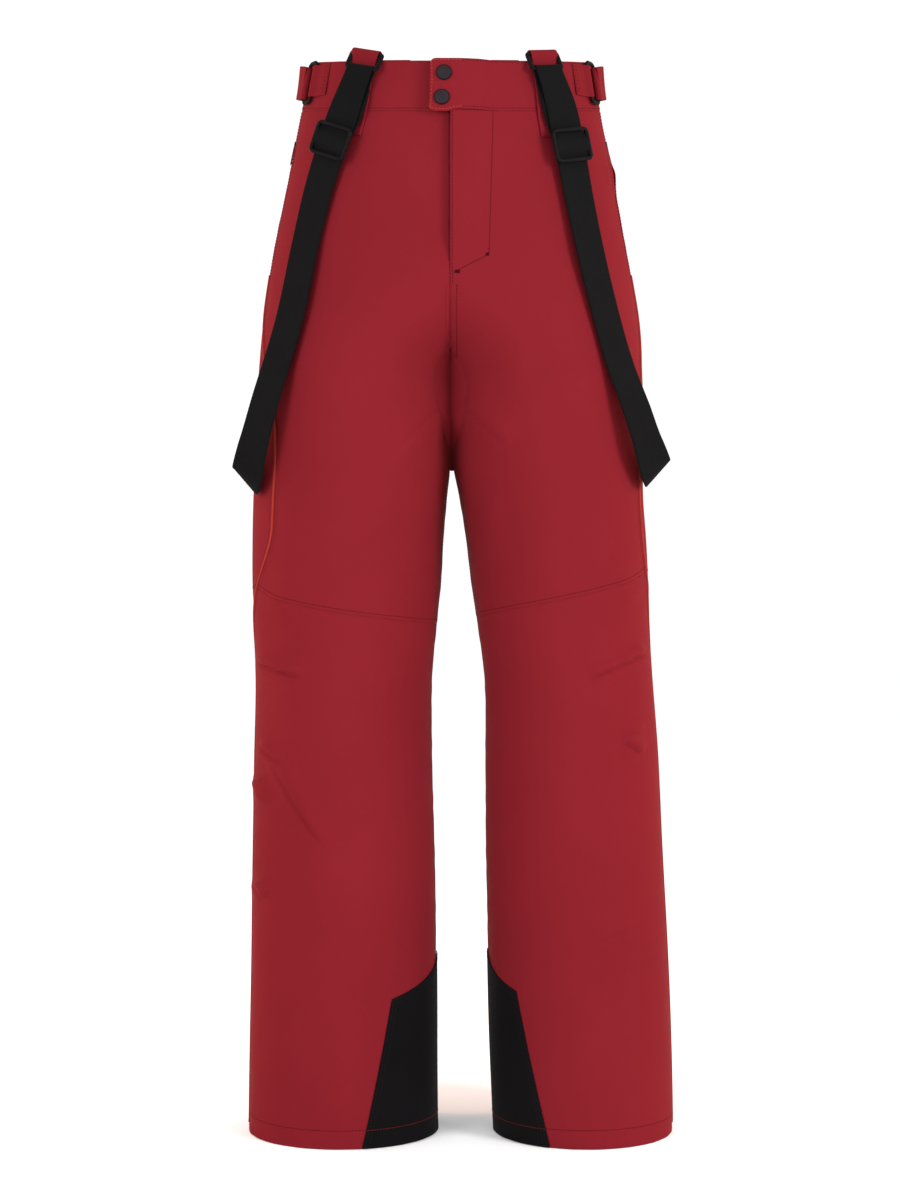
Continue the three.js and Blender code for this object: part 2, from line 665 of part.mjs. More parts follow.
for (const { name, x, z } of SNAP) {
  const face = frontNormal(x, z);
  const tabTop = FLY.tabBase + lift(x, z);
  const r = SNAP_RADIUS;
  const capProfile = [[0, 0], [r, 0], [r, 1], [r - 1.2, 2], [r - 3.5, 2.2], [0, 2.2]];
  add(`snap_cap_${name}`, disc(frontPoint(x, z, tabTop + SNAP_GAP), face, capProfile), METAL, 0.4, 0.5);
  const studProfile = [[0, 0], [STUD_RADIUS, 0], [STUD_RADIUS, 1], [2, 1], [2, 2], [0, 2]];
  const stud = disc(frontPoint(x, z, BAND.out + STUD_GAP), face, studProfile, 14);
  add(`snap_stud_${name}`, stud, METAL, 0.35, 0.8);
}

// ---------------------------------------------------------------- hand pocket zips

for (const [name, side] of SIDES) {
  const t = rad(SIDE_SEAM_POCKET_DEG);
  const low = point(side, t, POCKET.bottom + POCKET.zipFrom, 0);
  const high = point(side, t, POCKET.top - POCKET.zipTo, 0);
  const up = high.clone().sub(low).normalize();
  const face = normalAt(side, t, (POCKET.bottom + POCKET.top) / 2);
  face.addScaledVector(up, -face.dot(up)).normalize();
  const across = up.clone().cross(face).normalize();
  addZip(zipFrame(low, high, across, face), POCKET_ZIP_LEVELS, ZIP.pocketTooth, 4.5, 8, 18, {
    chain: `pocket_zip_chain_${name}`,
    slider: `pocket_slider_${name}`,
    puller: `pocket_puller_${name}`,
  });
}

// ---------------------------------------------------------------- suspenders

// Axes of a tape on the waistband: out of the cloth, up along the slanted tape, and across it.
// drop is how far the frame's origin lies below the band's upper edge.
function tapeFrame(degrees, slantDegrees, drop) {
  const side = Math.sign(degrees);
  const u = Math.abs(degrees) / 180;
  const z = tiltedHeight(side, u, BAND_TOP_Z);
  const origin = waistPoint(degrees, z, 0);
  const out = waistPoint(degrees, z - 35, 1).sub(waistPoint(degrees, z - 35, 0)).normalize();
  const level = V(0, 0, 1).cross(out).normalize();
  const upright = out.clone().cross(level).normalize();
  const away = Math.sign(level.x) === side ? -1 : 1;
  const slant = rad(slantDegrees) * away;
  const up = upright.multiplyScalar(Math.cos(slant)).addScaledVector(level, Math.sin(slant)).normalize();
  const across = out.clone().cross(up).normalize();
  origin.addScaledVector(up, -drop);
  const place = ([d, h]) => origin.clone().addScaledVector(out, d).addScaledVector(up, h);
  return { origin, out, up, across, place };
}

// The red tape: up the outside of the band, over the ring's upper bar and down the inside.
function loopOutline(frontLeg) {
  const { thick, front, back, top, backLeg } = LOOP;
  const middle = (front + back) / 2;
  const radius = (front - back) / 2;
  const arc = (r, from, to) => Array.from({ length: 7 }, (_, i) => {
    const angle = rad(lerp(from, to, i / 6));
    return [middle + r * Math.cos(angle), top + r * Math.sin(angle)];
  });
  const outside = [[front + thick, -frontLeg], ...arc(radius + thick, 0, 180), [back - thick, -backLeg]];
  return [...outside, [back, -backLeg], ...arc(radius, 180, 0), [front, -frontLeg]];
}

function ringGeometry(frame) {
  const upper = frame.place(RING.upper);
  const lower = frame.place(RING.lower);
  const up = upper.clone().sub(lower).normalize();
  const height = upper.distanceTo(lower);
  const outer = roundedRect(RING.inner + 2 * RING.bar, height + RING.bar, 3);
  const window = roundedRect(RING.inner, height - RING.bar, 1);
  return extrude(outer, RING.bar, upper.add(lower).multiplyScalar(0.5), frame.across, up, [window]);
}

const cylinderBetween = (from, to, radius) => {
  const length = from.distanceTo(to);
  const geometry = new THREE.CylinderGeometry(radius, radius, length, 72);
  const turn = new THREE.Quaternion().setFromUnitVectors(V(0, 1, 0), to.clone().sub(from).normalize());
  return geometry.applyQuaternion(turn).translate(...from.clone().add(to).multiplyScalar(0.5).toArray());
};

// The webbing lies over the red tape near the waist, and on the shell further down.
const overTape = (z) => lerp(8.2, 5.4, smooth((1000 - z) / 90));
const BELOW_RING = 14; // first stop of the webbing below a ring's lower bar
const BACK_STAND_OFF = 9;

function strapStations(name, side, front, back) {
  const stops = [];
  const startGap = (SLEEVE.hole + SLEEVE.outer) / 2;
  const [ringOut, ringUp] = RING.lower;
  const inward = (frame) => frame.across.clone().multiplyScalar(-side * Math.sign(frame.across.x));
  stops.push({ at: front.place([ringOut, ringUp - startGap]), across: inward(front) });
  stops.push({ at: front.place([ringOut - 1, ringUp - BELOW_RING]), across: inward(front) });
  const width = (yaw, dip) => {
    const level = Math.cos(rad(dip));
    return V(-side * Math.cos(rad(yaw)) * level, -Math.sin(rad(yaw)) * level, -Math.sin(rad(dip)));
  };
  for (const [x, z, y, yaw, dip] of ROUTE[name]) {
    const at = y === null ? frontPoint(side * x, z, overTape(z)) : V(side * x, y, z);
    stops.push({ at, across: width(yaw, dip) });
  }
  for (const [x, z, yaw] of BACK_ROUTE) {
    stops.push({ at: backPoint(side * x, z, BACK_STAND_OFF), across: width(yaw, 0) });
  }
  stops.push({ at: back.place([ringOut - 1, ringUp - BELOW_RING]), across: inward(back) });
  stops.push({ at: back.place([ringOut, ringUp - startGap]), across: inward(back) });
  const path = new THREE.CatmullRomCurve3(stops.map((stop) => stop.at), false, 'centripetal');
  const widths = new THREE.CatmullRomCurve3(stops.map((stop) => stop.across), false, 'centripetal');
  const steps = 2 * (stops.length - 1);
  return Array.from({ length: steps + 1 }, (_, i) => {
    const share = i / steps;
    return { at: path.getPoint(share), across: widths.getPoint(share) };
  });
}

// The tri-glide's frame lies on the webbing at one station of the route.
function triGlide(stations) {
  const { width, height, thick, window, windowRise, gap, station: index } = TRI_GLIDE;
  const along = stations[index + 1].at.clone().sub(stations[index - 1].at).normalize();
  const wide = stations[index].across.clone();
  wide.addScaledVector(along, -wide.dot(along)).normalize();
  const face = wide.clone().cross(along).normalize();
  if (face.y > 0) face.negate();
  const stand = WEB.thick / 2 + gap + thick / 2;
  const slot = (y) => roundedRect(window[0], window[1], 2, 2).map(([px, py]) => [px, py + y]);
  const outline = roundedRect(width, height, 5, 4);
  const middle = stations[index].at.clone().addScaledVector(face, stand);
  return extrude(outline, thick, middle, wide, along, [slot(windowRise), slot(-windowRise)]);
}

for (const [name, side] of SIDES) {
  const frames = {};
  for (const place of LOOP_PLACE) {
    const frame = tapeFrame(place[name].degrees, place[name].slant, place.drop);
    frames[place.end] = frame;
    const loop = extrude(loopOutline(place.leg), LOOP.width, frame.origin, frame.out, frame.up);
    add(`suspender_loop_${place.end}_${name}`, loop, RED);
    add(`suspender_ring_${place.end}_${name}`, ringGeometry(frame), PLASTIC, 0.35);
  }
  const stations = strapStations(name, side, frames.front, frames.back);
  const webbing = ribbon(stations, WEB.width, WEB.thick);
  const pivots = { front: frames.front.place(RING.lower), back: frames.back.place(RING.lower) };
  const axis = pivots.back.clone().sub(pivots.front).normalize();
  const middle = pivots.front.clone().add(pivots.back).multiplyScalar(0.5);
  const reach = {
    front: pivots.front.clone().addScaledVector(axis, -AXIS_OVERHANG),
    back: pivots.back.clone().addScaledVector(axis, AXIS_OVERHANG),
  };
  const core = cylinderBetween(reach.front, reach.back, SWIVEL_R + SWIVEL_GAP);
  add(`suspender_strap_${name}`, cut(webbing, core), WEBBING, 0.9);
  for (const end of ['front', 'back']) {
    const near = common(webbing, cylinderBetween(reach[end], middle, SWIVEL_R));
    const { out, up } = frames[end];
    const rim = circle(0, 0, SLEEVE.outer, 16);
    const hole = circle(0, 0, SLEEVE.hole, 12);
    const sleeve = extrude(rim, WEB.width, pivots[end], out, up, [hole]);
    add(`suspender_end_${end}_${name}`, join(near, sleeve), WEBBING, 0.9);
  }
  add(`suspender_slider_${name}`, triGlide(stations), PLASTIC, 0.4);
}

// ---------------------------------------------------------------- waist adjusters

for (const [name, side] of SIDES) {
  const { degrees, z, tape, tapeBase, half, height, bar, stand, swing, keeperFoot } = ADJUST;
  const origin = waistPoint(side * degrees, z, 0);
  const out = waistPoint(side * degrees, z, 1).sub(origin).normalize();
  const up = V(0, 0, 1).addScaledVector(out, -out.z).normalize();
  const rearward = up.clone().cross(out).multiplyScalar(side).normalize(); // towards the back, along the band
  const centre = origin.clone().addScaledVector(out, stand);
  const place = (e, n) => origin.clone().addScaledVector(rearward, e).addScaledVector(out, n);
  const tube = (outline, hole, e) => extrude(outline, tape, place(e, stand), rearward, out, [hole]);

  const keeperSleeve = tube(circle(0, 0, SLEEVE.outer, 16), circle(0, 0, SLEEVE.hole, 12), -half);
  const footTop = stand - SLEEVE.outer;
  const foot = [[-half - keeperFoot, 1.1], [-half - 0.5, footTop + 0.1], [-half - 0.5, footTop + 1.2],
    [-half - keeperFoot, 2.5]];
  add(`adjuster_keeper_${name}`, join(keeperSleeve, extrude(foot, tape, origin, rearward, out)), RED);

  const frameOutline = roundedRect(2 * half + bar, height, 2.5);
  const frameWindow = roundedRect(2 * half - bar, height - 2 * bar, 1);
  add(`adjuster_ring_${name}`, extrude(frameOutline, bar, centre, rearward, up, [frameWindow]), PLASTIC, 0.4);

  const oval = (grow) => circle(0, 0, SLEEVE.hole + grow, 16).map(([x, y]) => [x, y + Math.sign(y) * swing]);
  const foldSleeve = tube(oval(1.4), oval(0), half);
  const low = BAND_BOTTOM_Z + tapeBase;
  const tapeArc = (arc, columns) => {
    return waistArc(side * arc.from, side * arc.to, columns, low, low + tape, arc.out, arc.in);
  };
  add(`adjuster_strap_${name}`, join(foldSleeve, tapeArc(ADJUSTER_STRAP, 10)), RED);
  add(`adjuster_tail_${name}`, tapeArc(ADJUSTER_TAIL, 7), RED);
}

// ---------------------------------------------------------------- back belt loop

const backLoop = tapeFrame(-179.9, 0, 0);
const BELT_LOOP_WIDTH = 12;
const loopSide = [[1.8, -47], [6.5, -47], [6.5, -2], [1.8, -2], [1.8, -6], [5.2, -6], [5.2, -43], [1.8, -43]];
add('belt_loop_back', extrude(loopSide, BELT_LOOP_WIDTH, backLoop.origin, backLoop.out, backLoop.up), RED);

// The origin is at the middle of the footprint, on the surface that the hems stand on.
const bounds = new THREE.Box3().setFromObject(group);
const middle = bounds.getCenter(new THREE.Vector3());
group.position.set(-middle.x, -middle.y, -bounds.min.z);

export default group;
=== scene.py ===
"""Looks of the ski pants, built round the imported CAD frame. Metres in the scene, millimetres in the tables.

The shell, its lining and everything sewn on it follow one garment surface, which is the same formula as the
part's own: two half ellipses per leg, merged into one body above the crotch.
"""

import math

import bpy
import numpy as np
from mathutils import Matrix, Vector


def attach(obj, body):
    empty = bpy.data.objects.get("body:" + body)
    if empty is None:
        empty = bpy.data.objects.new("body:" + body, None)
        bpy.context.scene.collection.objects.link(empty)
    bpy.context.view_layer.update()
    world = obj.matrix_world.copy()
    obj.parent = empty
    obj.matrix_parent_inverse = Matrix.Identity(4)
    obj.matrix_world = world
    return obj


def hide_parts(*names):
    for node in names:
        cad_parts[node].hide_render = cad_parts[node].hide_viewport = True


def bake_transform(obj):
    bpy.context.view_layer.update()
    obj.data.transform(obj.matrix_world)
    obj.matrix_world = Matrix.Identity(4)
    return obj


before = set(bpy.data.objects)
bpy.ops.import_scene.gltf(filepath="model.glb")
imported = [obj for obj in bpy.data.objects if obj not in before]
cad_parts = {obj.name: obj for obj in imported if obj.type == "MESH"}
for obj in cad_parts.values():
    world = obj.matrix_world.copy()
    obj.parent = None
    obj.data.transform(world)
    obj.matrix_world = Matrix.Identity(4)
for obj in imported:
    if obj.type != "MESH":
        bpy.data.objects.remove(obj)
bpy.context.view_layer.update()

# ------------------------------------------------------------------ driving dimensions, mm

ORIGIN = np.array((-4.5441, -7.7322, 0.0423))  # the garment's own zero, seen from the part's origin
MM = 0.001

# Height, middle line x, half gap between the legs, right and left half widths, front and back depths.
STATIONS = np.array((
    (0, 15.7, 28.5, 216.2, 205.8, 87, 87), (130, 12.5, 26.5, 210.5, 206.5, 87, 87),
    (268, 10.5, 25.5, 206.5, 201.5, 87, 88), (368, 9, 26.6, 204, 198, 89, 87),
    (448, 8.5, 26.2, 201.5, 192.5, 91, 86), (508, 7, 20, 202, 191, 93, 88),
    (548, 6, 15, 203, 192, 95.5, 91), (588, 4.5, 11.5, 201.5, 191.5, 98, 94),
    (628, 3, 6.5, 199, 190, 101, 99), (665, 1.6, 1.2, 196, 191, 104, 105),
    (700, 1, 0.6, 195, 191.5, 107, 112), (745, 0.5, 0.4, 192.5, 191.5, 110.5, 120),
    (800, 0.2, 0.4, 187.5, 187.8, 113.2, 130), (850, 0, 0.4, 180, 180.6, 115.5, 136),
    (888, 0, 0.4, 173.3, 174, 113.6, 137), (928, 0, 0.4, 165, 167, 111.6, 134),
    (968, 0, 0.4, 157, 159, 109.6, 127), (1000, 0, 0.4, 151, 152.5, 108, 119),
    (1040, 0, 0.4, 142, 145, 105.5, 110), (1066, 0, 0.4, 137, 140, 104, 107),
    (1095, 0, 0.4, 131, 134, 103, 104),
), float)
CROTCH_Z = 745
FORK_HEIGHT = 125  # the two legs merge over this height above the crotch
BAND_BOTTOM_Z = 1017
BAND_TOP_Z = 1065
BAND_TILT = 0.22  # how much the waistband rises for each millimetre towards the back

SEAM_GAP = 0.25  # half the gap between neighbouring cloth pieces
SHELL_THICK = 1.6
SIDE_SEAM_POCKET_DEG = 8
SIDE_SEAM_THIGH_DEG = {"right": 42, "left": 23}
SEAM_TO_THIGH = (470, 600)  # heights between which the side seam swings forward, and back again
SEAM_TO_POCKET = (690, 830)
POCKET = {"top": 992, "bottom": 852, "half": 5.4}
KNEE = {"right": (505, 36, 2), "left": (511, 47, 1.5)}  # inner height, rise, power
KICK = {"right": (103.5, 123, 142, 180), "left": (114, 135, 148, 182)}  # hem and corner degrees, heights
HINGE = ((37, 855), (42.5, 1041))  # x and z of the closure's stitching line, bottom and top
FLY_FOOT_Z = 836
FLAP_LIFT = 6.4  # how far the fly flap's free edge stands off the cloth
FLAP_FADE = 45  # the flap comes down to the cloth over this height above its foot
FLAP_REACH = 42  # from the stitching line to the free edge
FOLD_LINE = ((0.0, FLY_FOOT_Z), HINGE[1])  # the opened closure folds along this line
FOLD_SPREAD = 26  # width of cloth across the fold line, between closure_blend's two points
TAB_EDGE_X = -19  # the waist tab's free end
SNAPS = {"upper": (-5.5, 1027.5), "lower": (-7.5, 1004)}

WEB_WIDTH = 36
WEB_THICK = 1.8
RING_UPPER = (-0.2, 7)  # a ring's bars, out from and up past the waistband's top edge
RING_LOWER = (8.1, -9.5)
RING_WINDOW = 29
RING_BAR = (4.6, 3.4)  # the side rails are wider than they are thick
RING_SQUEEZE = 7.6  # how much narrower the webbing bunches up in a ring
RING_SPREAD = 54  # it is back at its full width this far from the ring
BELOW_RING = 14  # the webbing's first stop below a ring's lower bar
WRAP_RADIUS = 2.3  # from the middle of a bar to the middle of the tape sewn round it
INNER_LAYER = 3.6  # how far inside the outer layer its return layer starts
LOOPS = {  # degrees round the waist, slant, length of the outer leg
    "front": {"right": (-34, 14, 72), "left": (37.5, 8, 74)},
    "back": {"right": (-155, -5, 42), "left": (155, -5, 42)},
}
LOOP_DROP = {"front": 0.0, "back": 6.2}  # how far a ring hangs below the front rings' place on the band
LOOP_WIDTH = 30
LOOP_LEAN = {"right": 4.2, "left": 3.4}  # the front loops lean outwards this much at the top
# Stops of the webbing: distance from the middle, height, depth (None lies on the cloth), yaw and dip
# of its width.
ROUTE = {
    "right": ((95, 1003, None, 30, 0), (108, 968, None, 33, 0), (122, 928, None, 36, 0),
              (136, 872, None, 38, 0), (154.7, 796, -88, 38, 0), (177.5, 720, -86, 37, 0),
              (191, 673, -77, 34, 10), (199, 645, -58, 10, 44), (203, 654, -28, 0, 66),
              (204, 663, 8, 0, 84), (201, 674, 45, -5, 60), (192, 700, 84, -30, 20)),
    "left": ((102, 1003, None, 30, 0), (111, 964, None, 33, 0), (122, 911, None, 36, 0),
             (138.4, 834, None, 38, 0), (162, 758, -88, 38, 0), (180, 710, -85, 37, 0),
             (193, 673, -77, 34, 10), (202, 652, -58, 10, 44), (204, 661, -28, 0, 66),
             (204, 668, 8, 0, 84), (201, 679, 45, -5, 60), (192, 705, 84, -30, 20)),
}
BACK_ROUTE = ((166, 760, -32), (136, 825, -30), (110, 885, -26), (88, 940, -22), (73, 985, -18))
ADJUST = {"degrees": 70, "z": 1035.5, "tape": 33, "half": 7.5, "height": 41, "front": 3.0, "rear": 4.1}
DEGREES_PER_MM = 0.52  # round the waist, beside the adjusters
TAPE_BASE = 9  # from the waistband seam up to an adjuster's tape
GLIDE = {"width": 45, "height": 33, "bar": (3.9, 3.4), "stand": 4.4}  # stands off the webbing
SWING_SPREAD = 58  # length of webbing below the front ring, between swing_blend's two points

SIDES = (("right", -1), ("left", 1))

# ------------------------------------------------------------------ garment surface


def smooth(v):
    v = np.clip(v, 0, 1)
    return v * v * (3 - 2 * v)


def lerp(a, b, t):
    return a + (b - a) * t


def unit(v):
    v = np.asarray(v, float)
    return v / np.maximum(np.linalg.norm(v, axis=-1, keepdims=True), 1e-12)


def to_metres(points):
    return (np.asarray(points, float) + ORIGIN) * MM


def grids(*values):
    return np.broadcast_arrays(*(np.asarray(v, float) for v in values))


def station(z, column):
    """Cubic Hermite through the stations, with finite-difference slopes."""
    heights, values = STATIONS[:, 0], STATIONS[:, column]
    z = np.asarray(z, float)
    last = len(heights) - 1
    k = np.clip(np.searchsorted(heights, z, side="left") - 1, 0, last - 1)

    def slope(i):
        a, b = np.maximum(i - 1, 0), np.minimum(i + 1, last)
        return (values[b] - values[a]) / (heights[b] - heights[a])

    span = heights[k + 1] - heights[k]
    t = (z - heights[k]) / span
    start = (1 + 2 * t) * (1 - t) ** 2 * values[k] + t * (1 - t) ** 2 * span * slope(k)
    return start + t * t * (3 - 2 * t) * values[k + 1] + t * t * (t - 1) * span * slope(k + 1)


def section(side, z, inset=0.0):
    gap = station(z, 2)
    outer = np.where(np.asarray(side) > 0, station(z, 4), station(z, 3))
    fork = (1 - np.clip((z - CROTCH_Z) / FORK_HEIGHT, 0, 1) ** 1.5) ** 2
    full = (outer - gap) / (1 + fork)
    cx = gap + fork * full
    a = full - inset
    return {
        "mid": station(z, 1), "a": a, "cx": cx, "front": station(z, 5) - inset,
        "back": station(z, 6) - inset, "cut": np.arccos(-np.minimum(1, (cx - gap) / a)),
    }


def raw(side, t, z, inset=0.0):
    side, t, z = grids(side, t, z)
    s = section(side, z, inset)
    depth = np.where(np.sin(t) > 0, s["front"], s["back"])
    return np.stack((s["mid"] + side * (s["cx"] + s["a"] * np.cos(t)), -depth * np.sin(t), z), -1)


def normal(side, t, z):
    around = raw(side, np.add(t, 0.01), z) - raw(side, np.subtract(t, 0.01), z)
    upward = raw(side, t, np.add(z, 1)) - raw(side, t, np.subtract(z, 1))
    return unit(np.cross(around, upward) * -np.asarray(side, float)[..., None])


def angle_of(side, u, z):
    return section(side, z)["cut"] * (1 - 2 * np.asarray(u, float))


def facing_xz(x, z, facing=1):
    """side and angle of the surface point found by its x and height; facing is 1 in front, -1 behind."""
    x, z = grids(x, z)
    side = np.where(x >= station(z, 1), 1.0, -1.0)
    s = section(side, z)
    t = np.arccos(np.clip((np.abs(x - s["mid"]) - s["cx"]) / s["a"], -1, 1))
    return side, facing * t


def waist_angles(degrees):
    turn = (np.asarray(degrees, float) + 540) % 360 - 180
    return np.where(turn >= 0, 1.0, -1.0), np.radians(90 - np.abs(turn)), np.abs(turn) / 180


def surf(side, t, z, offset=0.0):
    return raw(side, t, z) + normal(side, t, z) * np.asarray(offset, float)[..., None]


def front_point(x, z, offset=0.0, facing=1):
    side, t = facing_xz(x, z, facing)
    return surf(side, t, z, offset)


def tilted(side, u, base):
    z = np.asarray(base, float) + 0 * np.asarray(u, float)
    for _ in range(4):
        z = base + BAND_TILT * raw(side, angle_of(side, u, z), z)[..., 1]
    return z


def front_height(x, base):
    z = base + 0 * np.asarray(x, float)
    for _ in range(4):
        z = base + BAND_TILT * front_point(x, z)[..., 1]
    return z


def hinge_x(z):
    (x0, z0), (x1, z1) = HINGE
    return lerp(x0, x1, (z - z0) / (z1 - z0))


# ------------------------------------------------------------------ the cloth's own folds

# x and z of a fold's two ends, half width, height of the soft ridge, depth of its crease.
FRONT_FOLDS = (
    (-190, 466, -144, 453, 9, 1.9, 1.5), (-188, 384, -164, 369, 8, 1.8, 1.3),
    (-172, 368, -124, 290, 12, 1.7, 0.8), (-192, 352, -184, 330, 9, 2.4, 0.0),
    (-194, 248, -184, 236, 9, 1.6, 0.6), (135, 452, 163, 464, 9, 1.6, 1.3),
    (163, 464, 192, 476, 9, 1.9, 1.4), (166, 392, 186, 378, 8, 1.7, 1.2),
    (170, 398, 190, 402, 7, 1.2, 0.8), (138, 198, 180, 212, 12, 1.2, 0.5),
    (-8, 722, -52, 672, 15, 1.5, 0.5), (8, 722, 52, 676, 15, 1.4, 0.5),
    (-12, 742, -78, 742, 18, 1.0, 0.0), (12, 742, 76, 748, 18, 1.0, 0.0),
    (-30, 640, -34, 560, 13, 1.0, 0.0), (32, 636, 36, 560, 13, 1.0, 0.0),
    (-150, 560, -176, 520, 16, 1.2, 0.0), (150, 560, 178, 524, 16, 1.2, 0.0),
    (-96, 130, -118, 20, 22, 1.0, 0.0), (128, 150, 132, 30, 22, 1.0, 0.0),
    (152, 985, 160, 940, 6, 1.6, 1.0), (158, 958, 166, 930, 5, 1.3, 0.8),
)
BACK_FOLDS = tuple((way * x0, z0, way * x1, z1, *size) for x0, z0, x1, z1, *size in (
    (20, 745, 120, 715, 18, 2.4, 0.8), (24, 712, 96, 668, 16, 1.8, 0.5), (60, 470, 170, 488, 14, 2.0, 1.0),
    (70, 440, 160, 428, 14, 1.7, 0.8), (110, 395, 180, 372, 12, 1.4, 0.5), (90, 90, 130, 40, 20, 1.2, 0.0),
) for way in (-1, 1))
SOFT_WAVE = 0.9  # height of the broad swells
FOLD_GAIN = (2.7, 1.4)  # how strongly the folds are pressed, in front and behind


def fold_height(x, z, fold):
    x0, z0, x1, z1, half, ridge, crease = fold
    length = math.hypot(x1 - x0, z1 - z0)
    ux, uz = (x1 - x0) / length, (z1 - z0) / length
    along = (x - x0) * ux + (z - z0) * uz
    off = (z - z0) * ux - (x - x0) * uz
    end = np.clip(np.minimum(along, length - along) / (0.35 * length) + 0.35, 0, 1)
    swell = smooth(end) * ridge * np.exp(-((off - 0.35 * half) / half) ** 2)
    pinch = smooth(end) * crease * (np.exp(-(off / 1.6) ** 2) + 0.35 * np.exp(-(off / 4.5) ** 2))
    return swell - pinch


def drape(side, t, z):
    """How far the worn cloth stands off the plain garment surface."""
    x = raw(side, t, z)[..., 0]
    front = np.sin(t) > 0
    broad = 0.6 * np.sin(z / 63 + 2.1 * t + 1.3 * side) + 0.4 * np.sin(z / 31 - 2.7 * t + 0.8 * side)
    calm = smooth((1000 - z) / 60) * smooth(z / 12)
    total = SOFT_WAVE * broad * calm
    for folds, here, gain in ((FRONT_FOLDS, front, FOLD_GAIN[0]), (BACK_FOLDS, ~front, FOLD_GAIN[1])):
        for fold in folds:
            total = total + np.where(here, gain * fold_height(x, z, fold), 0)
    middle = 1 - np.exp(-((x - station(z, 1)) / 9) ** 2)
    at_side = smooth(np.abs(np.sin(t)) / 0.22)
    return total * calm * lerp(middle, 1, smooth((700 - z) / 40)) * lerp(0.45, 1, at_side)


# ------------------------------------------------------------------ mesh making


def make_object(name, points, faces, uv=None):
    """A smooth-shaded mesh object from points in the part's frame, in metres, turned to face outwards."""
    points = np.asarray(points, float)
    faces = [np.atleast_2d(block) for block in faces]
    volume = 0.0
    for block in faces:
        for k in range(1, block.shape[1] - 1):
            cross = np.cross(points[block[:, k]], points[block[:, k + 1]])
            volume += float((points[block[:, 0]] * cross).sum())
    way = -1 if volume < 0 else 1
    mesh = bpy.data.meshes.new(name)
    mesh.from_pydata(points.tolist(), [], [row[::way] for block in faces for row in block.tolist()])
    mesh.shade_smooth()
    if uv is not None:
        layer = mesh.uv_layers.new(name="cloth")
        index = np.empty(len(mesh.loops), np.int32)
        mesh.loops.foreach_get("vertex_index", index)
        layer.data.foreach_set("uv", np.asarray(uv, np.float32)[index].ravel())
    mesh.validate()
    made = bpy.data.objects.new(name, mesh)
    bpy.context.scene.collection.objects.link(made)
    return made


def joined(parts):
    """Several sets of points, faces and uv as one."""
    points, faces, uvs = zip(*parts)
    starts = np.cumsum([0] + [len(p) for p in points])
    moved = [block + start for blocks, start in zip(faces, starts) for block in blocks]
    return np.concatenate(points), moved, np.concatenate(uvs)


def add_piece(name, parts, material, body="trousers", nodes=()):
    """A piece from parts in millimetres. A body that is a tuple is not attached to any body: the piece's
    transform is only baked.
    """
    points, faces, uv = joined(parts)
    made = make_object(name, to_metres(points), faces, uv)
    own_slot, look = MATERIALS[material]
    made.data.materials.append(look)
    if isinstance(body, tuple):
        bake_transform(made)
    else:
        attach(made, body)
    if nodes:
        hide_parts(*nodes)
    return made


def quads(a, b, c, d):
    return np.stack((a, b, c, d), -1).reshape(-1, 4)


def grid_faces(ids):
    return quads(ids[:-1, :-1], ids[:-1, 1:], ids[1:, 1:], ids[1:, :-1])


def tube_faces(rows, columns, closed=False):
    """Faces of a tube of rings, capped at both ends unless its last ring joins its first."""
    ids = np.arange(rows * columns).reshape(rows, columns)
    rings = np.hstack((ids, ids[:, :1]))
    if closed:
        return [grid_faces(np.vstack((rings, rings[:1])))]
    return [grid_faces(rings), ids[:1, ::-1], ids[-1:]]


def lengths(points, axis):
    steps = np.linalg.norm(np.diff(points, axis=axis), axis=-1)
    pad = [(0, 0), (0, 0)]
    pad[axis] = (1, 0)
    return np.pad(np.cumsum(steps, axis=axis), pad)


def run_of(path):
    """The length run at each point of a path."""
    return lengths(path[None], 1)[0]


EDGE_PLACES = np.array((0.0, 0.35, 0.8, 1.5, 2.6, 4.2))  # where a cloth's grid lines lie beside its edge


def spread(length, step):
    """Places from 0 to 1 along a length, closer together near both ends."""
    *edge, first = EDGE_PLACES
    count = max(3, int((length - 2 * first) / step) + 1)
    middle = np.linspace(first, length - first, count)
    return np.concatenate((edge, middle, length - np.array(edge[::-1]))) / length


def closed_cloth(outer, inner, uv, ring=False):
    """A cloth between two grids of points, closed round its edges, or joined into a ring."""
    rows, columns = outer.shape[:2]
    count = rows * columns
    ids = np.arange(count).reshape(rows, columns)
    if ring:
        ids = np.hstack((ids, ids[:, :1]))
    face = grid_faces(ids)
    faces = [face, face[:, ::-1] + count]
    for edge in (ids[0], ids[-1, ::-1]) if ring else (ids[0], ids[-1, ::-1], ids[::-1, 0], ids[:, -1]):
        faces.append(quads(edge[:-1], edge[:-1] + count, edge[1:] + count, edge[1:]))
    return np.concatenate((outer, inner)).reshape(-1, 3), faces, np.concatenate((uv, uv)).reshape(-1, 2) * MM


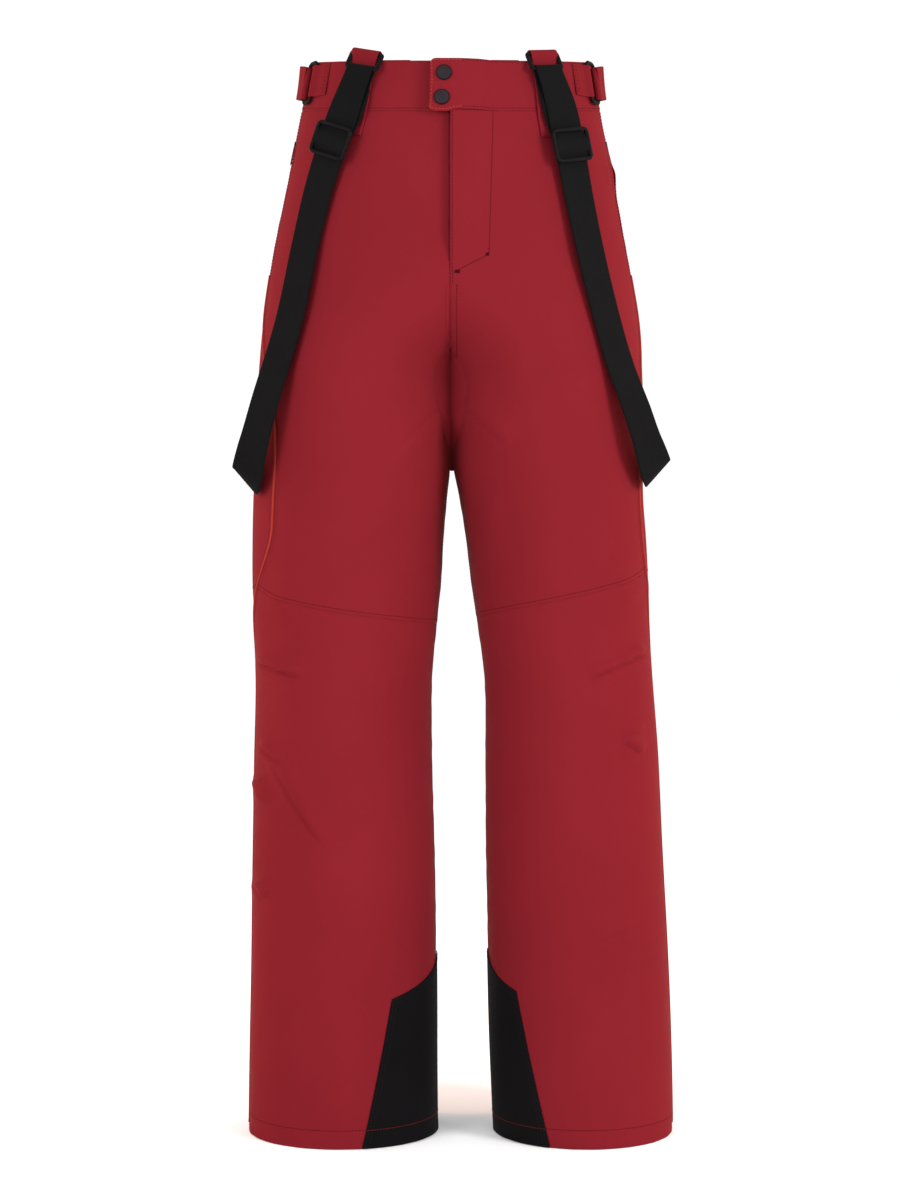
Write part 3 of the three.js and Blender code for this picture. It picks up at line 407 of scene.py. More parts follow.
class Sheet:
    """A thin closed cloth between two offsets of the garment surface, with rolled edges."""

    def __init__(self, side, t, z, out=0.0, thick=SHELL_THICK, lift=0.0, folds=1.0, pucker=0.25, ring=False,
                 inset=0.0, rolled=True):
        side, t, z = grids(side, t, z)
        flat = raw(side, t, z, inset)
        self.ring = ring
        self.normal = normal(side, t, z)
        self.across, self.up = lengths(flat, 1), lengths(flat, 0)
        self.gauges = {"left": self.across, "right": self.across[:, -1:] - self.across,
                       "low": self.up, "high": self.up[-1:] - self.up}
        rise = out + lift + folds * drape(side, t, z) + pucker * self.pucker()
        roll = self.roll(0.3 * thick) if rolled else 0.0
        self.outer = flat + self.normal * (rise - roll)[..., None]
        self.inner = flat + self.normal * (rise - thick + roll)[..., None]

    def pucker(self):
        """Small ripples where the stitching gathers the cloth."""
        ripple_v = np.sin(self.up / 4.3) + 0.6 * np.sin(self.up / 2.9 + 1)
        ripple_u = np.sin(self.across / 4.6 + 0.4) + 0.6 * np.sin(self.across / 3.1)
        left, right, low, high = (np.exp(-gauge / 6) for gauge in self.gauges.values())
        return 0.5 * (ripple_v * (left + right) + ripple_u * (low + high))

    def roll(self, r):
        """How far a face draws in beside the edges, which makes them round."""
        edges = [self.gauges[edge] for edge in (("low", "high") if self.ring else self.gauges)]
        d = np.clip(np.minimum.reduce(edges) / (1.3 * r), 0, 1)
        return 0.9 * r * (1 - np.sqrt(1 - (1 - d) ** 2))

    def build(self, name, material, body="trousers", nodes=(), slot=None):
        part = closed_cloth(self.outer, self.inner, np.stack((self.across, self.up), -1), self.ring)
        return add_piece(name, [part], material, body, nodes)

    def stitches(self, edge, distance, start=0.0, stop=1.0, **facts):
        """Stitches along a line at a distance from one edge, on the outer face."""
        gauge, points, facing = self.gauges[edge], self.outer, self.normal
        if edge in ("low", "high"):
            gauge, points, facing = gauge.T, points.swapaxes(0, 1), facing.swapaxes(0, 1)
        last = len(gauge) - 1
        found = []
        for j in range(int(start * last), int(stop * last) + 1):
            order = np.argsort(gauge[j])
            found.append([[np.interp(distance, gauge[j][order], grid[j][order, k]) for k in range(3)]
                          for grid in (points, facing)])
        found = np.array(found)
        return stitch_parts(found[:, 0], unit(found[:, 1]), **facts)


def sweep(at, ax, ay, profile, closed=False):
    """A profile carried along a path; ax and ay are its two axes, at each step or for the whole path."""
    profile = np.asarray(profile, float)
    ax, ay = np.broadcast_to(ax, at.shape), np.broadcast_to(ay, at.shape)
    points = at[:, None] + ax[:, None] * profile[:, :1] + ay[:, None] * profile[:, 1:]
    rows, columns = points.shape[:2]
    uv = np.stack((np.tile(profile[:, 0], (rows, 1)), np.tile(run_of(at)[:, None], (1, columns))), -1)
    return points.reshape(-1, 3), tube_faces(rows, columns, closed), uv.reshape(-1, 2) * MM


def tape_profile(width, thick, columns=12):
    """A flat tape's section: two faces and rounded edges."""
    r = thick / 2
    arc = np.radians(np.linspace(-90, 90, 5))
    xs = np.linspace(-width / 2 + r, width / 2 - r, columns)[1:-1]
    right = np.stack((width / 2 - r + r * np.cos(arc), r * np.sin(arc)), -1)
    top = np.stack((xs[::-1], np.full(columns - 2, r)), -1)
    return np.concatenate((right, top, -right, -top))


def oval(width, height, steps=12):
    a = np.linspace(0, 2 * np.pi, steps, endpoint=False)
    return np.stack((width / 2 * np.cos(a), height / 2 * np.sin(a)), -1)


def catmull(stops, per_span):
    """A centripetal curve through the stops, and the same for values carried with them."""
    p = np.asarray(stops, float)
    ends = np.vstack((2 * p[0] - p[1], p, 2 * p[-1] - p[-2]))
    out = []
    for i in range(len(p) - 1):
        q = ends[i:i + 4]
        gaps = np.maximum(np.linalg.norm(np.diff(q[:, :3], axis=0), axis=-1) ** 0.5, 1e-4)
        m = []
        for k in (1, 2):
            a = (q[k] - q[k - 1]) / gaps[k - 1] - (q[k + 1] - q[k - 1]) / (gaps[k - 1] + gaps[k])
            m.append((a + (q[k + 1] - q[k]) / gaps[k]) * gaps[1])
        t = (np.arange(per_span) / per_span)[:, None]
        out.append((2 * t**3 - 3 * t**2 + 1) * q[1] + (t**3 - 2 * t**2 + t) * m[0]
                   + (-2 * t**3 + 3 * t**2) * q[2] + (t**3 - t**2) * m[1])
    return np.vstack((*out, p[-1:]))


def ribbon(path, wides, width, thick, columns=12, taper=1.0):
    """A tape along a path. wides is the direction of its width, at each step or throughout."""
    along = unit(np.gradient(path, axis=0))
    wide = unit(wides - along * (wides * along).sum(-1, keepdims=True))
    face = np.cross(along, wide)
    return sweep(path, wide * np.reshape(taper, (-1, 1)), face, tape_profile(width, thick, columns))


def stitch_parts(line, facing, length=2.5, radius=0.3, pitch=3.3):
    """Separate stitches along a line, each a small rounded thread that dips at both ends."""
    run = run_of(line)
    count = int(run[-1] / pitch)
    if count < 1:
        return []
    facing = np.broadcast_to(facing, line.shape)
    centres = (np.arange(count) + 0.5) * run[-1] / count
    shape = np.array((-1, -0.8, -0.3, 0.3, 0.8, 1))
    fat = np.array((0.3, 0.8, 1, 1, 0.8, 0.3))[:, None, None]
    sunk = np.array((-1.1, -0.3, 0.25, 0.25, -0.3, -1.1))[:, None] * radius
    ring = oval(2, 2, 6) * radius

    def at(distance, values):
        return np.stack([np.interp(distance, run, values[:, k]) for k in range(3)], -1)

    spine = at(centres[:, None] + shape * length / 2, line)
    up = unit(at(centres, facing))[:, None]
    wide = unit(np.cross(unit(spine[:, -1:] - spine[:, :1]), up))
    loop = wide * ring[:, :1] + up * ring[:, 1:]
    points = (spine + up * sunk)[:, :, None] + loop[:, None] * fat
    starts = 36 * np.arange(count)[:, None, None]
    faces = [(block + starts).reshape(-1, block.shape[1]) for block in tube_faces(6, 6)]
    uv = np.tile(np.repeat(np.linspace(0, length, 6), 6)[:, None], (count, 2)) * MM
    return [(points.reshape(-1, 3), faces, uv)]


# ------------------------------------------------------------------ materials


class Graph:
    """A material's node tree, with short ways to add nodes."""

    def __init__(self, name):
        self.material = bpy.data.materials.new(name)
        self.material.use_nodes = True
        self.tree = self.material.node_tree
        self.shader = self.tree.nodes["Principled BSDF"]

    def node(self, kind, settings=None, **inputs):
        made = self.tree.nodes.new(kind)
        for key, value in (settings or {}).items():
            setattr(made, key, value)
        for key, value in inputs.items():
            self.put(made.inputs[key.replace("_", " ")], value)
        return made

    def put(self, socket, value):
        if isinstance(value, bpy.types.NodeSocket):
            self.tree.links.new(value, socket)
        else:
            socket.default_value = value

    def math(self, operation, a, b=0.0):
        made = self.node("ShaderNodeMath", {"operation": operation})
        self.put(made.inputs[0], a)
        self.put(made.inputs[1], b)
        return made.outputs[0]

    def wave(self, value, period):
        return self.math("SINE", self.math("MULTIPLY", value, 2 * math.pi / period))

    def noise(self, scale, detail=3.0):
        where = self.node("ShaderNodeTexCoord").outputs["Object"]
        made = self.node("ShaderNodeTexNoise", Vector=where, Scale=scale, Detail=detail, Roughness=0.5)
        return made.outputs["Fac"]

    def uv(self):
        place = self.node("ShaderNodeUVMap", {"uv_map": "cloth"}).outputs[0]
        split = self.node("ShaderNodeSeparateXYZ", Vector=place)
        return split.outputs[0], split.outputs[1]

    def mix(self, factor, a, b):
        made = self.node("ShaderNodeMix", {"data_type": "RGBA"})
        self.put(made.inputs[0], factor)
        self.put(made.inputs[6], a)
        self.put(made.inputs[7], b)
        return made.outputs[2]

    def ramp(self, value, low, high, to_low=0.0, to_high=1.0):
        made = self.node("ShaderNodeMapRange", Value=value)
        for socket, number in zip(list(made.inputs)[1:5], (low, high, to_low, to_high)):
            socket.default_value = number
        return made.outputs[0]

    def set(self, **inputs):
        for key, value in inputs.items():
            self.put(self.shader.inputs[key.replace("_", " ")], value)

    def bump(self, height, strength, distance, under=None):
        made = self.node("ShaderNodeBump", Height=height, Strength=strength, Distance=distance)
        if under is not None:
            self.tree.links.new(under, made.inputs["Normal"])
        return made.outputs[0]


def plain_weave(g, pitch):
    """Height of threads that pass over and under each other, from 0 to 1."""
    u, v = g.uv()
    su, sv = g.wave(u, 2 * pitch), g.wave(v, 2 * pitch)
    over = g.math("MULTIPLY_ADD", g.math("MULTIPLY", su, sv), 0.5)
    over.node.inputs[2].default_value = 0.5
    warp = g.math("MULTIPLY", g.math("ABSOLUTE", su), over)
    weft = g.math("MULTIPLY", g.math("ABSOLUTE", sv), g.math("SUBTRACT", 1.0, over))
    return g.math("ADD", warp, weft)


def cloth(name, dark, light, pitch, roughness, sheen=0.25, sheen_tint=(1, 1, 1, 1), weave_depth=0.00012):
    g = Graph(name)
    weave = plain_weave(g, pitch)
    tone = g.mix(g.ramp(g.noise(7, 4), 0.3, 0.7), dark, light)
    # the weave's height also scales the colour, darker where the threads dip: painted shade between the
    # threads
    grain = g.ramp(weave, 0.0, 0.9, 0.82, 1.05)
    shaded = g.node("ShaderNodeVectorMath", {"operation": "SCALE"}, Scale=grain)
    g.put(shaded.inputs[0], tone)
    slub = g.noise(260, 2)
    rough = g.ramp(g.math("ADD", g.noise(40, 3), g.math("MULTIPLY", weave, -0.3)), 0.1, 0.8, roughness + 0.1,
                   roughness - 0.06)
    soft = g.bump(slub, 0.12, 0.0004)
    g.set(Base_Color=shaded.outputs[0], Roughness=rough, Normal=g.bump(weave, 0.35, weave_depth, soft),
          Sheen_Weight=sheen, Sheen_Roughness=0.45, Sheen_Tint=sheen_tint, Specular_IOR_Level=0.004,
          Specular_Tint=sheen_tint)
    return g.material


def webbing_material():
    """Black woven webbing with chevron ribs; its colour is darker in the ribs' hollows, which is painted
    shade.
    """
    g = Graph("webbing_black")
    u, v = g.uv()
    rib = g.wave(g.math("ADD", g.math("ABSOLUTE", u), v), 0.0026)
    cross = g.wave(u, 0.0012)
    height = g.math("ADD", g.math("MULTIPLY", rib, 0.6), g.math("MULTIPLY", cross, 0.4))
    tone = g.mix(g.ramp(height, -1, 1), (0.0028, 0.0028, 0.003, 1), (0.0052, 0.0052, 0.0055, 1))
    fuzz = g.bump(g.noise(900, 2), 0.25, 0.0003)
    g.set(Base_Color=tone, Roughness=g.ramp(g.noise(30), 0.2, 0.8, 0.72, 0.86), Specular_IOR_Level=0.02,
          Normal=g.bump(height, 0.4, 0.00025, fuzz), Sheen_Weight=0.01, Sheen_Roughness=0.5)
    return g.material


def thread(name, colour):
    g = Graph(name)
    _, v = g.uv()
    twist = g.wave(v, 0.0008)
    dim = tuple(0.75 * c for c in colour[:3]) + (1,)
    # the thread is drawn darker in the grooves of its twist: painted shade
    g.set(Base_Color=g.mix(g.ramp(twist, -1, 1), dim, colour), Roughness=g.ramp(twist, -1, 1, 0.6, 0.45),
          Normal=g.bump(twist, 0.3, 0.0001), Specular_IOR_Level=0.03)
    return g.material


def moulded(name, colour, roughness, grain=0.15, metallic=0.0, gloss=0.16):
    """Moulded plastic or dull metal, with a fine grain and a little unevenness."""
    g = Graph(name)
    lighter = tuple(1.35 * c for c in colour[:3]) + (1,)
    g.set(Base_Color=g.mix(g.ramp(g.noise(60, 4), 0.35, 0.7), colour, lighter), Metallic=metallic,
          Roughness=g.ramp(g.noise(400, 3), 0.3, 0.7, roughness - 0.06, roughness + 0.1),
          Specular_IOR_Level=gloss, Normal=g.bump(g.noise(1400, 2), grain, 0.0002))
    return g.material


def quilted_lining():
    """Dark lining cloth with a diamond of quilting lines, drawn darker down in the quilted valleys as painted
    shade.
    """
    g = Graph("lining_cloth")
    u, v = g.uv()
    one = g.math("PINGPONG", g.math("ADD", u, v), 0.03)
    two = g.math("PINGPONG", g.math("SUBTRACT", u, v), 0.03)
    valley = g.math("MINIMUM", one, two)
    puff = g.math("POWER", g.math("DIVIDE", valley, 0.03), 0.4)
    weave = plain_weave(g, 0.0005)
    tone = g.mix(g.ramp(puff, 0, 1), (0.010, 0.010, 0.012, 1), (0.022, 0.022, 0.026, 1))
    g.set(Base_Color=tone, Roughness=g.ramp(weave, 0, 1, 0.55, 0.42),
          Normal=g.bump(puff, 0.6, 0.004, g.bump(weave, 0.3, 0.0001)))
    return g.material


def scene_materials():
    red, red_light = (0.13, 0.0083, 0.0128, 1), (0.143, 0.0093, 0.0141, 1)
    rim = (1.0, 0.22, 0.14, 1)
    """The slot that each look belongs to, and its material."""
    return {
        "shell": ("shell_red", cloth("shell_red", red, red_light, 0.00046, 0.5, 0.05, rim)),
        "tape": ("tape_red", cloth("tape_red", (0.123, 0.0079, 0.0119, 1), (0.136, 0.0088, 0.0132, 1), 0.0006,
                                   0.55, 0.05, rim)),
        # a lighter, more orange red than the shell: painted highlight of the side seam's raised edge catching
        # the light
        "welt": ("tape_red", cloth("welt_red_painted_highlight", (0.21, 0.02, 0.015, 1), (0.24, 0.024, 0.018, 1), 0.0006, 0.55,
                                   0.05, rim)),
        "scuff": ("scuff_black", cloth("scuff_black", (0.0036, 0.0033, 0.0036, 1),
                                       (0.0052, 0.0047, 0.0052, 1), 0.0009, 0.58, 0.02, weave_depth=0.0003)),
        "lining": ("lining", quilted_lining()),
        "gaiter": ("lining", cloth("gaiter_cloth", (0.006, 0.006, 0.007, 1), (0.01, 0.01, 0.0115, 1), 0.0006,
                                   0.5, 0.03)),
        "webbing": ("webbing_black", webbing_material()),
        "plastic": ("buckle_black", moulded("buckle_black", (0.0034, 0.0034, 0.0037, 1), 0.45, gloss=0.03)),
        "zip": ("zip_dark", moulded("zip_dark", (0.008, 0.0065, 0.0075, 1), 0.42, gloss=0.08)),
        "metal": ("zip_metal", moulded("zip_metal", (0.03, 0.027, 0.03, 1), 0.34, 0.1, 0.8)),
        "grip": ("zip_metal", moulded("pull_red", (0.07, 0.004, 0.007, 1), 0.5)),
        "snap": ("snap_dark", moulded("snap_dark", (0.0105, 0.0078, 0.0094, 1), 0.55, 0.25, gloss=0.1)),
        "thread_red": ("tape_red", thread("thread_red", (0.15, 0.008, 0.011, 1))),
        "thread_dark": ("tape_red", thread("thread_dark", (0.034, 0.0022, 0.0035, 1))),
        # a light orange thread: painted highlight for the free tab's stitching where its lifted edge catches
        # the light
        "thread_painted_highlight": ("tape_red", thread("thread_painted_highlight", (0.36, 0.05, 0.026, 1))),
        "thread_black": ("scuff_black", thread("thread_black", (0.009, 0.009, 0.0095, 1))),
    }


MATERIALS = scene_materials()

# ------------------------------------------------------------------ camera, light and floor

CAMERA = {"x": 0, "y": -2200, "z": 528, "half_height": 600}


def make_camera():
    data = bpy.data.cameras.new("camera")
    data.sensor_fit = "VERTICAL"
    data.angle_y = 2 * math.atan(CAMERA["half_height"] / -CAMERA["y"])
    data.clip_start = 0.05
    made = bpy.data.objects.new("camera", data)
    made.location = to_metres((CAMERA["x"], CAMERA["y"], CAMERA["z"]))
    made.rotation_euler = (math.pi / 2, 0, 0)
    bpy.context.scene.collection.objects.link(made)
    bpy.context.scene.camera = made


def area_light(name, at, aim, size, power, colour=(1, 1, 1)):
    data = bpy.data.lights.new(name, "AREA")
    data.shape = "RECTANGLE"
    data.size, data.size_y = size
    data.energy = power
    data.color = colour
    made = bpy.data.objects.new(name, data)
    made.location = at
    made.rotation_euler = (Vector(aim) - Vector(at)).to_track_quat("-Z", "Y").to_euler()
    bpy.context.scene.collection.objects.link(made)


def make_lights():
    warm = (1.0, 0.5, 0.28)
    area_light("key", (2.4, -1.9, 1.2), (0, 0, 0.6), (1.0, 1.5), 86)
    area_light("fill", (-2.2, -2.3, 1.2), (0, 0, 0.55), (1.5, 1.6), 64)
    for name, side in SIDES:
        area_light("rim_" + name, (1.6 * side, 0.45, 1.0), (0.15 * side, 0, 0.6), (0.35, 1.9), 13, warm)
    world = bpy.data.worlds.new("studio")
    world.use_nodes = True
    world.node_tree.nodes["Background"].inputs[0].default_value = (1, 1, 1, 1)
    world.node_tree.nodes["Background"].inputs[1].default_value = 1.05
    bpy.context.scene.world = world
    bpy.context.scene.view_settings.view_transform = "Standard"


def make_floor():
    reach, depth = 40.0, 0.0004
    points = [(reach * x, reach * y, -depth) for x, y in ((-1, -1), (1, -1), (1, 1), (-1, 1))]
    made = make_object("floor", points, [np.arange(4)])
    g = Graph("floor_pale")
    g.set(Base_Color=g.mix(g.ramp(g.noise(3), 0.3, 0.7), (0.96, 0.96, 0.96, 1), (0.98, 0.98, 0.98, 1)),
          Roughness=0.9)
    made.data.materials.append(g.material)


make_camera()
make_lights()
make_floor()

# ------------------------------------------------------------------ shell panels

CLOTH_STEP = 2.3
BACK_STEP = 3.6
EDGE_BLEND = 150  # over which rows bend to follow a slanted edge
UPPER = (530, 480)  # foot and height of the panels above the knee
LOWER = (0, 520)
HEM_Z = 0.1
SIDE_SHARE = 0.46  # of the way round a leg, from the front centre to the side seam
STITCHES = {"red": [], "dark": [], "black": []}  # stitching that stays with the trousers


def rise_between(z, low, high):
    return smooth((z - low) / (high - low))


def side_seam(side, z):
    """The side seam's angle: straight below the knee, swung forward on the thigh, and back at the pocket."""
    thigh = SIDE_SEAM_THIGH_DEG["left" if side > 0 else "right"]
    upper = lerp(thigh, SIDE_SEAM_POCKET_DEG, rise_between(z, *SEAM_TO_POCKET))
    return np.radians(upper * rise_between(z, *SEAM_TO_THIGH))


def pocket_half(side, z):
    """Half the opening between the front and the seat, as an angle: the slit's own shape, or a seam."""
    along = np.clip((z - POCKET["bottom"]) / (POCKET["top"] - POCKET["bottom"]), 0, 1)
    opening = SEAM_GAP + (POCKET["half"] - SEAM_GAP) * np.sin(np.pi * along) ** 0.35
    inside = (z > POCKET["bottom"]) & (z < POCKET["top"])
    return np.where(inside, opening, SEAM_GAP) / section(side, z)["back"]


def knee_height(name, w):
    inner, rise, power = KNEE[name]
    return inner + rise * np.clip(w, 0, 1) ** power


def seam_u(side, z, way):
    cut = section(side, z)["cut"]
    return 0.5 * (1 - side_seam(side, z) / cut) + way * pocket_half(side, z) / (2 * cut)


def centre_u(side, z):
    s = section(side, z)
    return SEAM_GAP / (s["a"] * s["cut"] * 2)


def bent(foot, height, step, low, high):
    """Heights for a grid whose rows bend to meet the lower and the upper edge."""
    z = foot + height * spread(height, step)[:, None]
    down = (low - foot) * np.clip(1 - (z - foot) / EDGE_BLEND, 0, 1)
    return z + down + (high - z[-1]) * np.clip(1 - (z[-1] - z) / EDGE_BLEND, 0, 1)


def panel_grid(side, foot, height, width, step, u0, u1, low, high):
    """Side, angle and height over a panel. u0 and u1 give its upright edges, low and high the other two."""
    w = spread(width, step)
    z = bent(foot, height, step, low(w), high(w))
    return side, angle_of(side, lerp(u0(z), u1(z), w), z), z


def band_line(side, u):
    return tilted(side, u, BAND_BOTTOM_Z) - SEAM_GAP


def flap_rise(x, z):
    return FLAP_LIFT * np.sin(np.pi / 2 * np.clip((hinge_x(z) - x) / FLAP_REACH, 0, 1))


def flap_lift(x, z, edge=0.4):
    """How far the fly flap stands off the right front, down to its foot."""
    return (flap_rise(x, z) + edge * smooth((hinge_x(z) - x) / 8)) * smooth((z - FLY_FOOT_Z) / FLAP_FADE)


def closure_blend():
    """The trousers and the closure as bodies, and two points across the closure's fold line, FOLD_SPREAD
    apart.
    """
    (x0, z0), (x1, z1) = FOLD_LINE
    away = unit((z0 - z1, 0, x1 - x0))
    start = Vector(to_metres(front_point((x0 + x1) / 2, (z0 + z1) / 2)))
    return ("trousers", "closure", start, start + Vector(away) * FOLD_SPREAD * MM)


def front_panel(name, side):
    """The front of a leg. The left one and the fly flap are one piece of cloth."""
    def inner_u(z):
        edge = 0.35
        _, t = facing_xz(np.maximum(edge, station(z, 1) + edge), z)
        flap = 0.5 * (1 - t / section(side, z)["cut"])
        return np.where((side > 0) & (z > FLY_FOOT_Z), flap, centre_u(side, z))

    side, t, z = panel_grid(
        side, *UPPER, 235, CLOTH_STEP, inner_u, lambda z: seam_u(side, z, -1),
        lambda w: knee_height(name, w) + SEAM_GAP, lambda w: band_line(side, lerp(0, SIDE_SHARE, w)),
    )
    return Sheet(side, t, z, lift=flap_lift(raw(side, t, z)[..., 0], z) if side > 0 else 0.0)


def back_knee(name, w):
    return lerp(knee_height(name, 1), knee_height(name, 0), w)


def seat_panel(name, side):
    return Sheet(*panel_grid(
        side, *UPPER, 270, BACK_STEP, lambda z: seam_u(side, z, 1), lambda z: 1 - centre_u(side, z),
        lambda w: back_knee(name, w) + SEAM_GAP, lambda w: band_line(side, lerp(SIDE_SHARE, 1, w)),
    ))


def lower_panel(name, side, rear):
    if rear:
        edges = (lambda z: seam_u(side, z, 1)), (lambda z: 1 - centre_u(side, z))
    else:
        edges = (lambda z: centre_u(side, z)), (lambda z: seam_u(side, z, -1))
    knee = back_knee if rear else knee_height
    return Sheet(*panel_grid(
        side, *LOWER, 270, BACK_STEP if rear else CLOTH_STEP, *edges,
        lambda w: HEM_Z + 0 * w, lambda w: knee(name, w) - SEAM_GAP,
    ))


SHELL = (  # piece, CAD node, flat size and what it hangs from
    ("front_panel_", "front_thigh_", (0.25, 0.53), "waistband_front_{}"),
    ("seat_panel_", "seat_", (0.30, 0.57), "waistband_back"),
    ("shin_panel_", "front_shin_", (0.27, 0.56), "front_panel_{}"),
    ("calf_panel_", "calf_", (0.27, 0.56), "seat_panel_{}"),
)
# Square metres of each leg's front, seat, shin and calf cut out flat.
PANEL_AREA = {"right": (0.112, 0.161, 0.1455, 0.146), "left": (0.1145, 0.15, 0.146, 0.147)}


def make_shell(name, side):
    sheets = (front_panel(name, side), seat_panel(name, side),
              lower_panel(name, side, False), lower_panel(name, side, True))
    for sheet, (piece, node, flat, above), area in zip(sheets, SHELL, PANEL_AREA[name]):
        flap = piece == "front_panel_" and side > 0
        made = sheet.build(piece + name, "shell", closure_blend() if flap else "trousers",
                           [node + name] + ["fly_flap"] * flap)
    front, seat, shin, calf = sheets
    STITCHES["dark"] += front.stitches("low", 3.2) + seat.stitches("low", 3.2)
    STITCHES["red"] += front.stitches("right", 5.5, 0, 0.99) + seat.stitches("left", 5.5, 0, 0.99)
    STITCHES["red"] += shin.stitches("right", 5.5) + seat.stitches("right", 4.0)
    STITCHES["dark"] += shin.stitches("low", 18) + calf.stitches("low", 18)
    return front


FRONTS = {leg: make_shell(leg, leg_side) for leg, leg_side in SIDES}

# ------------------------------------------------------------------ seam tapes and welts

WELT_HALF, WELT_RISE = 1.2, 1.3  # the side seam's raised edge
WELT_ROWS = np.linspace(-0.8, 0.8, 3)[:, None]


def strip(side, t, z, out, thick, **facts):
    """A strip along a seam: the waterproof tape behind it, or the welt that fills it."""
    return Sheet(side, t, z, out=out, thick=thick, pucker=0, rolled=False, **facts)


def side_strip(side, z, half, out, thick):
    z = z[:, None]
    width = np.linspace(-half, half, 5) / section(side, z)["front"]
    return strip(side, side_seam(side, z) + width, z, out, thick)


def make_leg_seams(name, side):
    z = np.arange(4, 1006, 9.0)
    for k, run in enumerate((z[z <= POCKET["bottom"] + 4], z[z >= POCKET["top"] - 6])):
        tape = side_strip(side, run, 7, -SHELL_THICK - 0.25, 0.35)
        tape.build(f"seam_tape_side_{name}_{k}", "shell")
    # the side seam's welt below the pocket is drawn in the lighter red look: a painted highlight
    welt = side_strip(side, np.arange(6, POCKET["bottom"], 4.0), WELT_HALF, WELT_RISE, 2.4)
    welt.build("seam_welt_painted_highlight_side_" + name, "welt")
    w = np.linspace(0.002, 0.998, 120)
    for part in ("front", "back"):
        height = knee_height(name, w if part == "front" else 1 - w)
        seam = seam_u(side, height, 0)
        u = lerp(0, seam, w) if part == "front" else lerp(seam, 1, w)
        z = height + WELT_ROWS
        strip(side, angle_of(side, u, z), z, -0.3, 1.6).build(f"seam_tape_knee_{part}_{name}", "shell")


def make_inseam(name, side):
    """Binding over the inseam, from hem to crotch."""
    z = np.linspace(4, 742, 90)[:, None]
    t = np.pi + np.linspace(-7, 7, 5) / section(side, z)["front"]
    strip(side, t, z, -SHELL_THICK - 0.3, 0.35, folds=0).build("seam_tape_inner_" + name, "shell")


def make_centre_seam(part, facing, top):
    """The welt of a centre seam above the crotch, and the binding behind it."""
    z = np.linspace(772, top, 60)[:, None]
    for kind, half, columns, out, thick, folds in (
            ("welt", 0.7, 3, -0.3, 1.4, 1), ("tape", 8, 7, -SHELL_THICK - 0.4, 0.35, 0)):
        side, t = facing_xz(np.linspace(-half, half, columns) + station(z, 1), z, facing)
        strip(side, t, z, out, thick, folds=folds).build(f"seam_{kind}_centre_{part}", "shell")


for leg, leg_side in SIDES:
    make_leg_seams(leg, leg_side)
for leg, leg_side in SIDES:
    make_inseam(leg, leg_side)
make_centre_seam("front", 1, 838)
make_centre_seam("back", -1, 1044)


def make_crotch_web(name, side):
    """Slack cloth high on the inner thigh, which swells forward until both legs touch."""
    z = np.linspace(657, 774, 60)[:, None]
    q = np.linspace(0, 1, 14)[None, :, None]
    t = np.pi - np.arcsin(lerp(0.05, 0.56, smooth((z - 655) / 60)))
    start = surf(side, np.minimum(t, section(side, z)["cut"] - 0.02), z, -0.5 + 0 * z)
    middle = station(z, 1)
    reach = np.abs(start[..., 0] - middle)
    sink = start[..., 1] + 0.6 * reach
    bend = np.stack((middle + side * 0.25 * reach, sink, z), -1)
    end = np.stack((middle - side * 0.3, sink + 6, z), -1)
    outer = (1 - q) ** 2 * start + 2 * q * (1 - q) * bend + q**2 * end
    cloth_parts = closed_cloth(outer, outer + np.array((0, 0.9, 0)), outer[..., ::2])
    add_piece("inner_thigh_slack_" + name, [cloth_parts], "shell")


for leg, leg_side in SIDES:
    make_crotch_web(leg, leg_side)

# ------------------------------------------------------------------ kick patches, lining, gaiters

LINING_INSET = 7.7


def make_kick_patch(name, side):
    hem_deg, corner_deg, corner_z, tip_z = KICK[name]
    w = 2 * spread(150, 3.0) - 1
    z = lerp(0.3, lerp(tip_z, corner_z, np.abs(w) ** 0.7), spread(160, 3.0)[:, None])
    half = np.pi - np.radians(lerp(hem_deg, corner_deg, z / corner_z))
    patch = Sheet(side, np.pi + w * half, z, out=1.25, thick=1.05, pucker=0.2)
    made = patch.build("kick_patch_cloth_" + name, "scuff", nodes=["kick_patch_" + name])
    for edge in ("left", "right", "high"):
        STITCHES["black"] += patch.stitches(edge, 2.6) + patch.stitches(edge, 6.4)
    STITCHES["red"] += patch.stitches("low", 18)


def make_lining(name, side):
    u = np.linspace(0, 1, 60)
    z = bent(12, 996, 9, 12, tilted(side, u, BAND_BOTTOM_Z) - 3)
    s = section(side, z, LINING_INSET)
    t = (s["cut"] - 1.2 / s["a"]) * (1 - 2 * u)
    lining = Sheet(side, t, z, thick=1.0, folds=0, pucker=0, inset=LINING_INSET, rolled=False)
    made = lining.build("lining_cloth_" + name, "lining", nodes=["lining_" + name])


def make_gaiter(name, side):
    """The snow gaiter: gathered by elastic at its lower edge."""
    t = np.linspace(0, 2 * np.pi, 240, endpoint=False)
    q = np.linspace(0, 1, 50)[:, None]
    gather = 1.6 * np.exp(-(q * 205 / 28)) * np.sin(t * 46)
    elastic = 0.8 * np.exp(-((q * 205 - 7) / 4) ** 2)
    lift = lerp(-18, -13.5, q**2) + gather + elastic + 0.5 * np.sin(3 * t + 5 * q)
    skirt = Sheet(side, t, lerp(30, 235, q), lift=lift, thick=1.0, folds=0, pucker=0, ring=True)
    made = skirt.build("gaiter_cloth_" + name, "gaiter", nodes=["gaiter_" + name])


for leg, leg_side in SIDES:
    make_kick_patch(leg, leg_side)
    make_lining(leg, leg_side)
    make_gaiter(leg, leg_side)

# ------------------------------------------------------------------ waistband and fly

